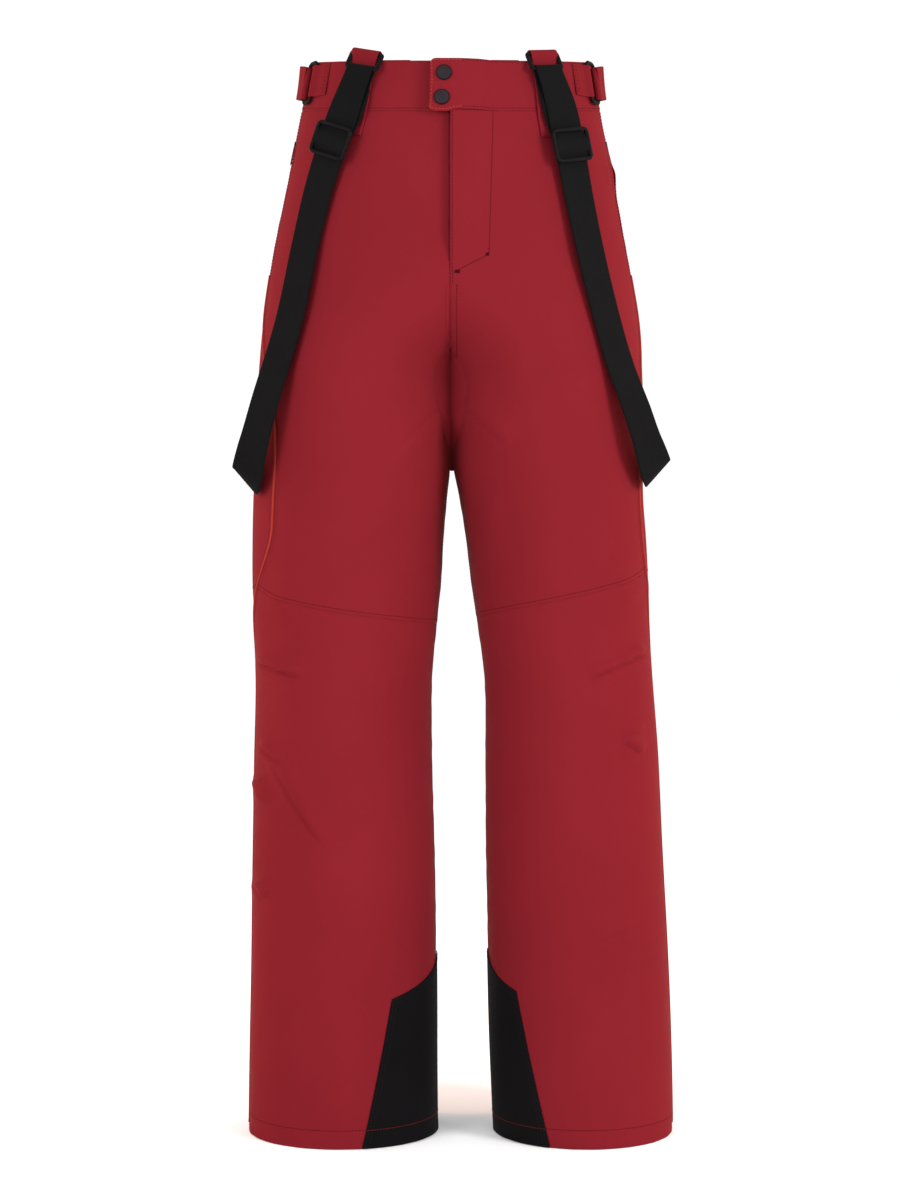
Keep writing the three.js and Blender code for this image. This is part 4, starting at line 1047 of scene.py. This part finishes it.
SIDE_DEG = 90 - SIDE_SEAM_POCKET_DEG
UNDER_DEG = 13
TAB_SHARE = 0.17  # of the left waistband that is the free tab, whose stitching gets the painted highlight
TAB_OVERHANG = 2.6  # the tab's free end hangs this far below the seam
J_TURN_Z, J_FOOT_Z = 856, 838  # where the fly's stitching leaves the hinge line, and where it ends


def band_sheet(degrees, out=0.4, thick=2.4, high=BAND_TOP_Z):
    side, t, u = waist_angles(degrees)
    low = BAND_BOTTOM_Z
    z = lerp(tilted(side, u, low) + SEAM_GAP, tilted(side, u, high), spread(high - low, 2.4)[:, None])
    return Sheet(side, t, z, out=out, thick=thick, folds=0, pucker=0.2)


def make_waistband():
    right = band_sheet(lerp(-SIDE_DEG + 0.15, UNDER_DEG, spread(190, 3)))
    right.build("waistband_cloth_right", "shell", nodes=["waistband_front_right"])
    back = band_sheet(lerp(SIDE_DEG + 0.15, 360 - SIDE_DEG - 0.15, spread(390, 3.4)))
    back.build("waistband_cloth_back", "shell", nodes=["waistband_back"])
    for band in (right, back):
        STITCHES["dark"] += band.stitches("low", 2.2)
        STITCHES["red"] += band.stitches("high", 1.6)
    inner = band_sheet(lerp(18.8, 372, spread(690, 5)), -2.4, 1.5, BAND_TOP_Z - 2)
    inner.build("waist_lining_cloth", "gaiter", nodes=["waist_lining"])


def make_band_welt(name, degrees, body="trousers"):
    """The welt that fills the waistband's seam. Over the fly it stands off with the flap."""
    side, t, u = waist_angles(degrees)
    z = tilted(side, u, BAND_BOTTOM_Z) + WELT_ROWS
    rise = 0.0 if body == "trousers" else flap_rise(raw(side, t, z)[..., 0], z)
    strip(side, t, z, -0.25, 1.4, lift=rise, folds=0).build("seam_tape_band_" + name, "shell", body)


def make_tab():
    """The left waistband and the tab it ends in, which lies over the right end and snaps down."""
    first = -math.degrees(math.pi / 2 - float(facing_xz(TAB_EDGE_X, 1012)[1]))
    columns = spread(165, 2.4)
    side, t, u = waist_angles(lerp(first, SIDE_DEG - 0.15, columns))
    foot = tilted(side, u, BAND_BOTTOM_Z) + SEAM_GAP
    free = smooth((hinge_x(foot) - raw(side, t, foot)[..., 0] - 34) / 10)
    z = lerp(foot - TAB_OVERHANG * free, tilted(side, u, BAND_TOP_Z), spread(48, 2.4)[:, None])
    corner = 3.4 * np.clip(1 - 165 * columns / 3.6, 0, 1) ** 2  # both free corners are rounded
    middle = z.mean(0)
    z = middle + (z - middle) * (1 - corner / 24)
    x = raw(side, t, z)[..., 0]
    lift = flap_rise(x, z) + 1.7 * smooth((hinge_x(z) - x) / 14)
    tab = Sheet(side, t, z, out=0.4, thick=2.2, lift=lift, folds=0, pucker=0.2)
    tab.build("waistband_cloth_left", "shell", closure_blend(), ["waistband_front_left", "waist_tab"])
    # over the free tab the stitching is drawn in the light orange thread, a painted highlight of the lifted
    # edge; the rest is dark thread
    highlit_stitches, plain = [], []
    for edge, distance in (("low", 2.2), ("high", 1.6)):
        highlit_stitches += tab.stitches(edge, distance, 0.0, TAB_SHARE, radius=0.24)
        plain += tab.stitches(edge, distance, TAB_SHARE)
    highlit_stitches += tab.stitches("left", 2.4, radius=0.24)
    add_piece("stitch_tab_painted_highlight", highlit_stitches, "thread_painted_highlight", closure_blend())
    add_piece("stitch_band_left", plain, "thread_dark", closure_blend())


def front_stitches(x, z, rise=0.0, **facts):
    """Stitches along a line on the front, drawn by its x and height."""
    side, t = facing_xz(x, z)
    return stitch_parts(surf(side, t, z, rise + drape(side, t, z) + 0.05), normal(side, t, z), **facts)


def make_fly_stitching():
    """The J of stitching that holds the fly's facing, the topstitch beside its edge, and two bartacks."""
    z = np.concatenate((np.linspace(1002, J_TURN_Z, 54), np.linspace(J_TURN_Z - 1, J_FOOT_Z, 18)))
    x = lerp(hinge_x(z), 2.5, np.clip((J_TURN_Z - z) / (J_TURN_Z - J_FOOT_Z), 0, 1))
    parts = front_stitches(x, z, flap_lift(x, z), length=2.0, radius=0.42, pitch=3.0)
    parts += FRONTS["left"].stitches("left", 1.8, 0.62, 0.995)
    for tack_x, tack_z, half in ((35.5, J_TURN_Z, 1.9), (7.0, J_FOOT_Z + 1.5, 2.8)):
        for row in (-1, 0, 1):
            x = np.linspace(tack_x - half, tack_x + half, 4)
            z = np.full(4, tack_z + row)
            run = 2 * half - 0.2
            parts += front_stitches(x, z, flap_lift(x, z, 0) + 0.3, length=run, radius=0.42, pitch=run)
    add_piece("stitch_fly", parts, "thread_dark", closure_blend())


make_waistband()
make_band_welt("right", np.linspace(-SIDE_DEG - 2, -0.4, 60))
make_band_welt("back", np.linspace(SIDE_DEG + 2, 360 - SIDE_DEG - 3, 120))
make_band_welt("left", np.linspace(0.6, SIDE_DEG + 1, 60), closure_blend())
make_tab()
make_fly_stitching()
for seam_x, seam_colour in ((6.5, "dark"), (-4.0, "red")):
    STITCHES[seam_colour] += front_stitches(np.full(40, seam_x), np.linspace(828, 750, 40))

# ------------------------------------------------------------------ zips


def box_parts(origin, axes, outline, low, high, bevel=0.35):
    """A flat moulded piece: its outline in the first two axes, from low to high along the third."""
    outline = np.asarray(outline, float)
    centre = outline.mean(0)
    reach = np.linalg.norm(outline - centre, axis=1, keepdims=True)
    small = outline - (outline - centre) / np.maximum(reach, 1e-6) * bevel
    layers = ((small, low), (outline, low + bevel), (outline, high - bevel), (small, high))
    ax, ay, az = axes
    points = np.concatenate([origin + o[:, :1] * ax + o[:, 1:] * ay + h * az for o, h in layers])
    return points, tube_faces(4, len(outline)), np.concatenate([o for o, _ in layers]) * MM


def rounded_rect(width, height, radius, steps=4):
    outline = []
    for sx, sy, start in ((1, 1, 0), (-1, 1, 90), (-1, -1, 180), (1, -1, 270)):
        for a in np.radians(start + np.linspace(0, 90, steps + 1)):
            outline.append((sx * (width / 2 - radius) + radius * math.cos(a),
                            sy * (height / 2 - radius) + radius * math.sin(a)))
    return np.array(outline)


def zip_chain(name, low, axes, length, level, node):
    """Two rows of interlocked coil teeth on a woven tape."""
    across, up, _ = axes
    tape = box_parts(low + up * length / 2, axes, rounded_rect(4.6, length, 0.5, 2), level - 0.4, level, 0.1)
    add_piece(name + "_tape", [tape], "gaiter", nodes=[node])
    parts = []
    pitch = 1.5
    tooth = rounded_rect(2.2, 0.95, 0.35, 2)
    for k in range(int(length / pitch) - 1):
        for way in (-1, 1):
            at = low + up * (pitch * (k + 0.75 + 0.25 * way)) + across * (0.55 * way)
            parts.append(box_parts(at, axes, tooth, level + 0.02, level + 0.85, 0.25))
    add_piece(name + "_teeth", parts, "zip")


def zip_slider(name, at, axes, low, high, body, node):
    shape = rounded_rect(7.4, 9.8, 2.4)
    shape[:, 0] *= 1 - 0.16 * np.clip(-shape[:, 1] / 4.9, 0, 1)
    top = (low + high) / 2 + 0.15
    parts = [box_parts(at, axes, shape, low, top, 0.3),
             box_parts(at + axes[1] * 0.6, axes, rounded_rect(3.2, 7.0, 1.2), top - 0.2, high)]
    add_piece(name, parts, "metal", body, [node])


def zip_puller(name, at, axes, low, high, body, node, width=4.2):
    """A pull tab: a metal eye at the top and a moulded grip below."""
    up, length = axes[1], 24
    eye = rounded_rect(width, 8, width / 2 - 0.1)
    grip = rounded_rect(width + 0.1, length - 5.5, 1.7)
    grip[:, 0] *= 1 - 0.14 * np.clip(grip[:, 1] / 9, 0, 1)
    eye_parts = box_parts(at + up * (length / 2 - 4), axes, eye, low, high, 0.25)
    add_piece(name, [eye_parts], "metal", body, [node])
    parts = [box_parts(at - up * 2.6, axes, grip, low - 0.05, high + 0.1)]
    rib = rounded_rect(2.6, 0.9, 0.4, 2)
    for k in range(5):
        parts.append(box_parts(at - up * (1.5 + 2.3 * k), axes, rib, high - 0.1, high + 0.35, 0.15))
    add_piece(name + "_grip", parts, "grip", body)


def make_fly_zip():
    top, bottom = front_point(14.5, 985), front_point(14.5, 846)
    up = unit(top - bottom)
    across = unit(np.array((1.0, 0, 0)) - up * up[0])
    face = np.cross(across, up)
    axes = (across, up, face * (1 if face[1] < 0 else -1))
    length = float(np.linalg.norm(top - bottom))
    zip_chain("fly_zip", bottom, axes, length, -3.3, "fly_zip_chain")
    slider_at, puller_at = bottom + up * (length - 9), bottom + up * (length - 18.5)
    zip_slider("fly_zip_slider_body", slider_at, axes, -2.1, 0.2, "fly_slider", "fly_zip_slider")
    zip_puller("fly_zip_pull", puller_at, axes, 0.5, 1.4, "fly_puller", "fly_zip_puller", 3.8)


def front_sheet(low, high, x, out, thick, pucker):
    """A cloth on the front between two heights, over the given x."""
    z = lerp(low, high, spread(high - low, 3.4))[:, None]
    side, t = facing_xz(x, z)
    return Sheet(side, t, z, out=out, thick=thick, folds=0, pucker=pucker)


def make_fly_cloth():
    """The underlap behind the fly, and the right front's facing, which runs on under the flap's edge."""
    underlap = front_sheet(840, 989, lerp(-9, 33, spread(42, 2.6)), -4.7, 1.1, 0.1)
    made = underlap.build("fly_underlap_cloth", "shell", nodes=["fly_underlap"])
    front_sheet(838, 1012, np.linspace(-0.6, 8.5, 9), -0.15, 1.3, 0).build("fly_facing_cloth", "shell")


def make_pocket_zip(name, side):
    t = math.radians(SIDE_SEAM_POCKET_DEG)
    low, high = surf(side, t, POCKET["bottom"] + 14), surf(side, t, POCKET["top"] - 3)
    up = unit(high - low)
    face = normal(side, t, (POCKET["bottom"] + POCKET["top"]) / 2)
    face = unit(face - up * (face @ up))
    axes = (unit(np.cross(up, face)), up, face)
    length = float(np.linalg.norm(high - low))
    slider, puller = "pocket_slider_" + name, "pocket_puller_" + name
    zip_chain("pocket_zip_" + name, low, axes, length, -3.0, "pocket_zip_chain_" + name)
    zip_slider("pocket_slider_body_" + name, low + up * (length - 8), axes, -1.7, 0.2, slider, slider)
    zip_puller("pocket_pull_" + name, low + up * (length - 18), axes, 0.35, 1.25, puller, puller)
    pocket_backing(name, side)


def pocket_backing(name, side):
    """The facing behind the pocket slit, which keeps it closed inside."""
    z = np.linspace(POCKET["bottom"] - 2, POCKET["top"] + 2, 40)[:, None]
    t = side_seam(side, z) + np.linspace(-12, 12, 7) / section(side, z)["back"]
    strip(side, t, z, -4.0, 0.6, folds=0).build("pocket_facing_" + name, "gaiter", slot="zip_dark")


make_fly_zip()
make_fly_cloth()
for leg, leg_side in SIDES:
    make_pocket_zip(leg, leg_side)

# ------------------------------------------------------------------ snap fasteners

# Radius and height pairs of the turned pieces.
SNAP_CAP = ((0.4, 0), (6.2, 0), (6.75, 0.25), (6.8, 0.7), (6.65, 1.25), (6.35, 1.6), (5.95, 1.62),
            (5.7, 1.45), (5.4, 1.5), (4.9, 1.72), (3.5, 1.92), (1.6, 2.02), (0.3, 2.05))
SNAP_RIM = ((5.9, 0), (7.3, 0), (7.5, 0.25), (7.45, 0.7), (7.2, 0.95), (6.2, 0.95))
SNAP_STUD = ((0.3, 0), (4.4, 0), (4.5, 0.4), (4.3, 0.9), (2.6, 1.0), (1.9, 1.1), (2.05, 1.6), (1.8, 2.0),
             (0.3, 2.05))


def lathe(profile, centre, axis, segments=40):
    """A turned piece round an axis."""
    axis = unit(axis)
    ax = unit(np.cross(axis, (0.3, 0.1, 1)))
    ay = np.cross(axis, ax)
    profile = np.asarray(profile, float)
    turn = np.linspace(0, 2 * np.pi, segments, endpoint=False)
    rim = np.cos(turn)[:, None] * ax + np.sin(turn)[:, None] * ay
    points = (centre + rim * profile[:, None, :1] + axis * profile[:, None, 1:]).reshape(-1, 3)
    uv = np.stack((np.tile(turn, (len(profile), 1)), np.tile(profile[:, :1], (1, segments))), -1)
    return points, tube_faces(len(profile), segments), uv.reshape(-1, 2) * MM


def make_snap(name, x, z):
    side, t = facing_xz(x, z)
    face = normal(side, t, z)
    stand = 2.2 + float(flap_rise(x, z)) + 0.55
    for piece, profile, rise, segments, material, body, nodes in (
            ("snap_cap_{}_turned", SNAP_CAP, stand, 40, "snap", "closure", ["snap_cap_" + name]),
            ("snap_rim_{}", SNAP_RIM, stand - 0.05, 40, "plastic", "closure", ()),
            ("snap_stud_{}_turned", SNAP_STUD, 1.3, 28, "metal", "trousers", ["snap_stud_" + name])):
        turned = lathe(profile, surf(side, t, z, rise), face, segments)
        add_piece(piece.format(name), [turned], material, body, nodes)


for snap_name, (snap_x, snap_z) in SNAPS.items():
    make_snap(snap_name, snap_x, snap_z)

# ------------------------------------------------------------------ suspenders


class TapeFrame:
    """Axes of a tape on the waistband: out of the cloth, up along the slanted tape, and across it."""

    def __init__(self, degrees, slant, drop=0.0):
        side = math.copysign(1, degrees)
        s, t, u = waist_angles(degrees)
        z = float(tilted(s, u, BAND_TOP_Z))
        self.out = unit(surf(s, t, z - 35, 1.0) - surf(s, t, z - 35))
        level = unit(np.cross((0, 0, 1), self.out))
        away = -1 if math.copysign(1, level[0]) == side else 1
        angle = math.radians(slant) * away
        self.up = unit(np.cross(self.out, level) * math.cos(angle) + level * math.sin(angle))
        self.across = unit(np.cross(self.out, self.up))
        self.origin = surf(s, t, z) - self.up * drop

    def place(self, d, h, e=0.0):
        return self.origin + self.out * d + self.up * h + self.across * e

    def bar_wrap(self, start, stop):
        """Points round the ring's lower bar, in the plane of out and up, between two angles."""
        out, low = RING_LOWER
        return [self.place(out + WRAP_RADIUS * math.cos(a), low + WRAP_RADIUS * math.sin(a))
                for a in np.radians(np.linspace(start, stop, 7))]


def over_tape(z):
    return lerp(8.2, 5.4, smooth((1000 - z) / 90))


def width_axis(side, yaw, dip=0):
    yaw, dip = math.radians(yaw), math.radians(dip)
    return np.array((-side * math.cos(yaw) * math.cos(dip), -math.sin(yaw) * math.cos(dip), -math.sin(dip)))


def strap_stops(name, side, front, back):
    """Places and widths of the webbing: its return layer, the front ring, down, round, and the back ring."""
    out, low = RING_LOWER
    front_wide, back_wide = (-outward(tape, side, 1) for tape in (front, back))
    stops = []
    for (x, z, _, yaw, _), shift, height in ((ROUTE[name][1], -2.0, 2.0), (ROUTE[name][0], 3.0, 0)):
        at = front_point(side * (x - shift), z + height, over_tape(z) - 2.55)
        stops.append((at, width_axis(side, yaw)))
    stops.append((front.place(out - INNER_LAYER, low - BELOW_RING, -side * 2.0), front_wide))
    stops += [(p, front_wide) for p in front.bar_wrap(170, 0)]
    for x, z, y, yaw, dip in ROUTE[name]:
        at = front_point(side * x, z, over_tape(z)) if y is None else np.array((side * x, y, z))
        stops.append((at, width_axis(side, yaw, dip)))
    for x, z, yaw in BACK_ROUTE:
        stops.append((front_point(side * x, z, 9, -1), width_axis(side, yaw)))
    last = [back.place(out - 1, low - BELOW_RING), *back.bar_wrap(10, 170)]
    last += [back.place(out - INNER_LAYER, low - BELOW_RING), back.place(out - 3.4, low - 34)]
    return stops + [(p, back_wide) for p in last]


def swing_blend(name, front, back):
    """The trousers and the swinging strap as bodies, and two points below the front ring's lower bar,
    SWING_SPREAD apart.
    """
    a, b = front.place(*RING_LOWER), back.place(*RING_LOWER)
    axis = unit(b - a)
    down = np.array((0, 0, -1.0))
    down = unit(down - axis * (down @ axis))
    start = Vector(to_metres(a + down * 4))
    return ("trousers", "suspender_" + name, start, start + Vector(down) * SWING_SPREAD * MM)


def ring_parts(centre, ax, ay, az, width, height, bar, radius=2.2, steps=10):
    """A rectangular ring of round wire: width and height to the middle of its bars."""
    outline = rounded_rect(width, height, radius, 5)
    dense = []
    for a, b in zip(outline, np.roll(outline, -1, 0)):
        count = max(1, int(np.linalg.norm(b - a) / 3))
        dense += [lerp(a, b, k / count) for k in range(count)]
    dense = np.array(dense)
    path = centre + dense[:, :1] * ax + dense[:, 1:] * ay
    along = unit(np.roll(path, -1, 0) - np.roll(path, 1, 0))
    return sweep(path, unit(np.cross(along, az)), az, oval(*bar, steps), closed=True)


def outward(tape, side, reach):
    """A step of that length across a tape, away from the middle of the garment."""
    return tape.across * math.copysign(reach, side * tape.across[0])


def make_ring(end, name, side, tape):
    upper, lower = tape.place(*RING_UPPER), tape.place(*RING_LOWER)
    if end == "front":
        upper = upper + outward(tape, side, 0.6 * LOOP_LEAN[name])
    up = unit(upper - lower)
    height = float(np.linalg.norm(upper - lower))
    face = unit(np.cross(tape.across, up))
    ring = ring_parts((upper + lower) / 2, tape.across, up, face, RING_WINDOW + RING_BAR[0], height, RING_BAR)
    add_piece(f"ring_{end}_{name}", [ring], "plastic", nodes=[f"suspender_ring_{end}_{name}"])


def make_loop(end, name, side, tape, leg):
    """The red tape sewn on the waistband: up the outside, over the ring's upper bar and down the inside."""
    front = end == "front"
    facing = 1 if front else -1
    path = []
    for h in np.linspace(-leg, -2, 30 if front else 20)[:-1]:
        x, _, z = tape.place(0, h)
        over_band = z - float(front_height(x, BAND_BOTTOM_Z)) + 6 if front else z - 1036
        path.append(front_point(x, z, lerp(1.15, 2.1, float(smooth(over_band / 8))), facing))
    turn = np.linspace(0, np.pi, 13)
    path += [tape.place(4.55 * math.cos(a) - 1.95, 4.55 * math.sin(a) + 6.1) for a in turn]
    path += [tape.place(-6.5, h) for h in np.linspace(4, -12, 7)]
    path = catmull(path, 2)
    if front:
        risen = (path - tape.origin) @ tape.up
        path = path + smooth((risen + 55) / 50)[:, None] * outward(tape, side, LOOP_LEAN[name])
    loop = ribbon(path, tape.across, LOOP_WIDTH, 1.3, 14)
    add_piece(f"loop_tape_{end}_{name}", [loop], "tape", nodes=[f"suspender_loop_{end}_{name}"])
    for rise in (3.5, 9.5):
        STITCHES["red"] += tape_stitches(tape, rise - leg, np.linspace(-13, 13, 12), facing)
    for e in (-13, 13):
        reach = np.linspace(3.5, 44 if front else 30, 16)
        STITCHES["red"] += tape_stitches(tape, reach - leg, e, facing, 0.9)


def tape_stitches(tape, h, e, facing, step=0.0):
    """Stitches on a loop's tape, along it (h) or across it (e), which step up over the waistband's edge."""
    p = tape.origin + np.reshape(h, (-1, 1)) * tape.up + np.reshape(e, (-1, 1)) * tape.across
    side, t = facing_xz(p[:, 0], p[:, 2], facing)
    band = smooth((p[:, 2] - (990 if facing > 0 else 1040)) / 6)
    return stitch_parts(surf(side, t, p[:, 2], 1.9 + step * band), normal(side, t, p[:, 2]))


def make_tri_glide(name, side):
    before, (x, z, _, yaw, _), after = ROUTE[name][:3]
    at = front_point(side * x, z, over_tape(z))
    top, foot = (front_point(side * stop[0], stop[1], over_tape(stop[1])) for stop in (before, after))
    along = unit(foot - top)
    wide = width_axis(side, yaw)
    wide = unit(wide - along * (wide @ along))
    face = np.cross(wide, along)
    face = face * (-1 if face[1] > 0 else 1)
    centre = at + face * GLIDE["stand"]
    width, height = GLIDE["width"] - GLIDE["bar"][0], GLIDE["height"] - GLIDE["bar"][0]
    rim = ring_parts(centre, wide, along, face, width, height, GLIDE["bar"], 4.0, 14)
    bar_at = np.linspace(-width / 2, width / 2, 6)[:, None] * wide + centre - face * 0.5
    middle = sweep(bar_at, along, face, oval(4.0, 1.8))
    body = "tri_glide_" + name
    add_piece(body + "_frame", [rim, middle], "plastic", body, ["suspender_slider_" + name])
    rises = ((-12.6, 1.95), (-10.5, 2.1), (-7.5, 3.3), (-4, 4.9), (0, 5.4), (4, 4.9), (7.5, 3.3), (10.5, 2.1),
             (12.6, 1.95))
    path = catmull([at + along * s + face * h for s, h in rises], 4)
    add_piece("glide_webbing_" + name, [ribbon(path, wide, 40, 1.5, 14)], "webbing", body)


def make_suspender(name, side):
    tapes = {}
    for end, places in LOOPS.items():
        degrees, slant, leg = places[name]
        tapes[end] = TapeFrame(degrees, slant, LOOP_DROP[end])
        make_loop(end, name, side, tapes[end], leg)
        make_ring(end, name, side, tapes[end])
    curve = catmull([np.concatenate(stop) for stop in strap_stops(name, side, **tapes)], 12)
    path, wides = curve[:, :3], curve[:, 3:]
    near = np.min([np.linalg.norm(path - tape.place(*RING_LOWER), axis=1) for tape in tapes.values()], axis=0)
    taper = 1 - RING_SQUEEZE / WEB_WIDTH * (1 - smooth((near - 2) / RING_SPREAD))
    add_piece("suspender_webbing_" + name, [ribbon(path, wides, WEB_WIDTH, WEB_THICK, 16, taper)], "webbing",
              swing_blend(name, **tapes),
              [piece + name for piece in ("suspender_strap_", "suspender_end_front_", "suspender_end_back_")])
    make_tri_glide(name, side)


for leg, leg_side in SIDES:
    make_suspender(leg, leg_side)

# ------------------------------------------------------------------ waist adjusters

# Degrees round the waist and distance off the band of an adjuster's loose tail.
LOOSE_TAIL = ((79, 8.0), (83, 9.2), (88, 9.0), (94, 8.4), (100, 9.0), (106, 10.8), (109, 12.4))


class Adjuster:
    """One side's adjuster: its ring's own axes, and places along the waistband."""

    def __init__(self, name, side):
        self.name, self.side = name, side
        s, t, _ = waist_angles(side * ADJUST["degrees"])
        self.origin = surf(s, t, ADJUST["z"])
        self.out = unit(surf(s, t, ADJUST["z"], 1.0) - self.origin)
        self.up = unit(np.array((0, 0, 1.0)) - self.out * self.out[2])
        self.rear = unit(np.cross(self.up, self.out) * side)

    def place(self, e, n):
        return self.origin + self.rear * e + self.out * n

    def bar(self, way):
        """Place of the front (-1) or rear (1) upright of the ring, along the band and off it."""
        return way * ADJUST["half"], ADJUST["rear" if way > 0 else "front"]

    def wrap(self, way, gap, start, stop, radius, steps):
        e, n = self.bar(way)
        e, n = e + gap, n + gap * (ADJUST["rear"] - ADJUST["front"]) / (2 * ADJUST["half"])
        return [self.place(e + radius * math.cos(a), n + radius * math.sin(a))
                for a in np.radians(np.linspace(start, stop, steps))]

    def along_band(self, degrees, offset):
        s, t, u = waist_angles(self.side * degrees)
        z = float(tilted(s, u, BAND_BOTTOM_Z + TAPE_BASE + ADJUST["tape"] / 2))
        return surf(s, t, z, offset)

    def keep(self, e, n, rise=0.0):
        """A point that far along the band from the ring's middle, at a level height."""
        p = self.along_band(ADJUST["degrees"] + DEGREES_PER_MM * (e - ADJUST["half"]), n)
        return p + self.up * (rise - (p - self.origin) @ self.up)

    def add_tape(self, piece, node, path, width, wides=None, body="trousers", thick=1.3):
        tape = ribbon(path, self.up if wides is None else wides, width, thick)
        add_piece(piece + self.name, [tape], "tape", body, [node + self.name])

    def make_keeper(self):
        """The short red tape that holds the ring's front upright."""
        reach = ADJUST["tape"] / 2 - 2
        path = [self.keep(-21, 1.0), self.keep(-14, 1.1), self.keep(-6, 2.2),
                *self.wrap(-1, 0, 105, -105, WRAP_RADIUS, 7), self.keep(-7, 0.4), self.keep(-14, 0.2)]
        self.add_tape("adjuster_keeper_tape_", "adjuster_keeper_", catmull(path, 5), ADJUST["tape"] - 1)
        for e in (-16, -19):
            line = np.array([self.keep(e, 1.75, h) for h in np.linspace(-reach, reach, 8)])
            STITCHES["red"] += stitch_parts(line, self.out)

    def make_ring(self):
        front, rear = self.place(*self.bar(-1)), self.place(*self.bar(1))
        ax = unit(rear - front)
        face = np.cross(ax, self.up) * self.side
        width, height = 2 * ADJUST["half"], ADJUST["height"] - 1.4
        ring = ring_parts((front + rear) / 2, ax, self.up, face, width, height, (4.6, 3.0), 4.4)
        ring_name = "adjuster_ring_" + self.name
        add_piece("adjuster_ring_wire_" + self.name, [ring], "plastic", ring_name, [ring_name])

    def make_tape(self):
        """The elastic-backed tape: along the band, round the ring's rear upright, and back, loose."""
        fold = self.wrap(1, 0.4, -90, -272, 3.0, 9)
        under = [self.along_band(d, 1.7) for d in np.linspace(124, 79, 12)]
        self.add_tape("adjuster_tape_", "adjuster_strap_", catmull(under + fold, 4), ADJUST["tape"])
        path = catmull(fold[-2:] + [self.along_band(d, n) for d, n in LOOSE_TAIL], 5)
        turn = np.linspace(0, 1, len(path))[:, None]
        wides = unit(self.up + 0.16 * turn * np.array((self.side, -0.4, 0)))
        start, end = Vector(to_metres(path[2])), Vector(to_metres(path[12]))
        body = ("trousers", "adjuster_tail_" + self.name, start, end)
        self.add_tape("adjuster_tail_tape_", "adjuster_tail_", path, ADJUST["tape"], wides, body, 1.2)


for leg, leg_side in SIDES:
    adjuster = Adjuster(leg, leg_side)
    adjuster.make_keeper()
    adjuster.make_ring()
    adjuster.make_tape()

# ------------------------------------------------------------------ belt loop and stitching


def make_belt_loop():
    tape = TapeFrame(-179.9, 0)
    shape = ((2.0, -49), (2.2, -45), (5.6, -42), (6.0, -36), (6.0, -10), (5.6, -6), (2.2, -3.5), (2.0, 0.5))
    path = catmull([tape.place(d, h) for d, h in shape], 5)
    add_piece("belt_loop_tape", [ribbon(path, tape.across, 12, 1.3, 8)], "tape", nodes=["belt_loop_back"])
    for h in (-47.2, -1.4):
        line = np.array([tape.place(2.75, h, e) for e in np.linspace(-5, 5, 5)])
        STITCHES["red"] += stitch_parts(line, tape.out, 2.0, 0.35, 2.2)


make_belt_loop()
for stitch_colour, stitching in STITCHES.items():
    add_piece("stitching_" + stitch_colour, stitching, "thread_" + stitch_colour)
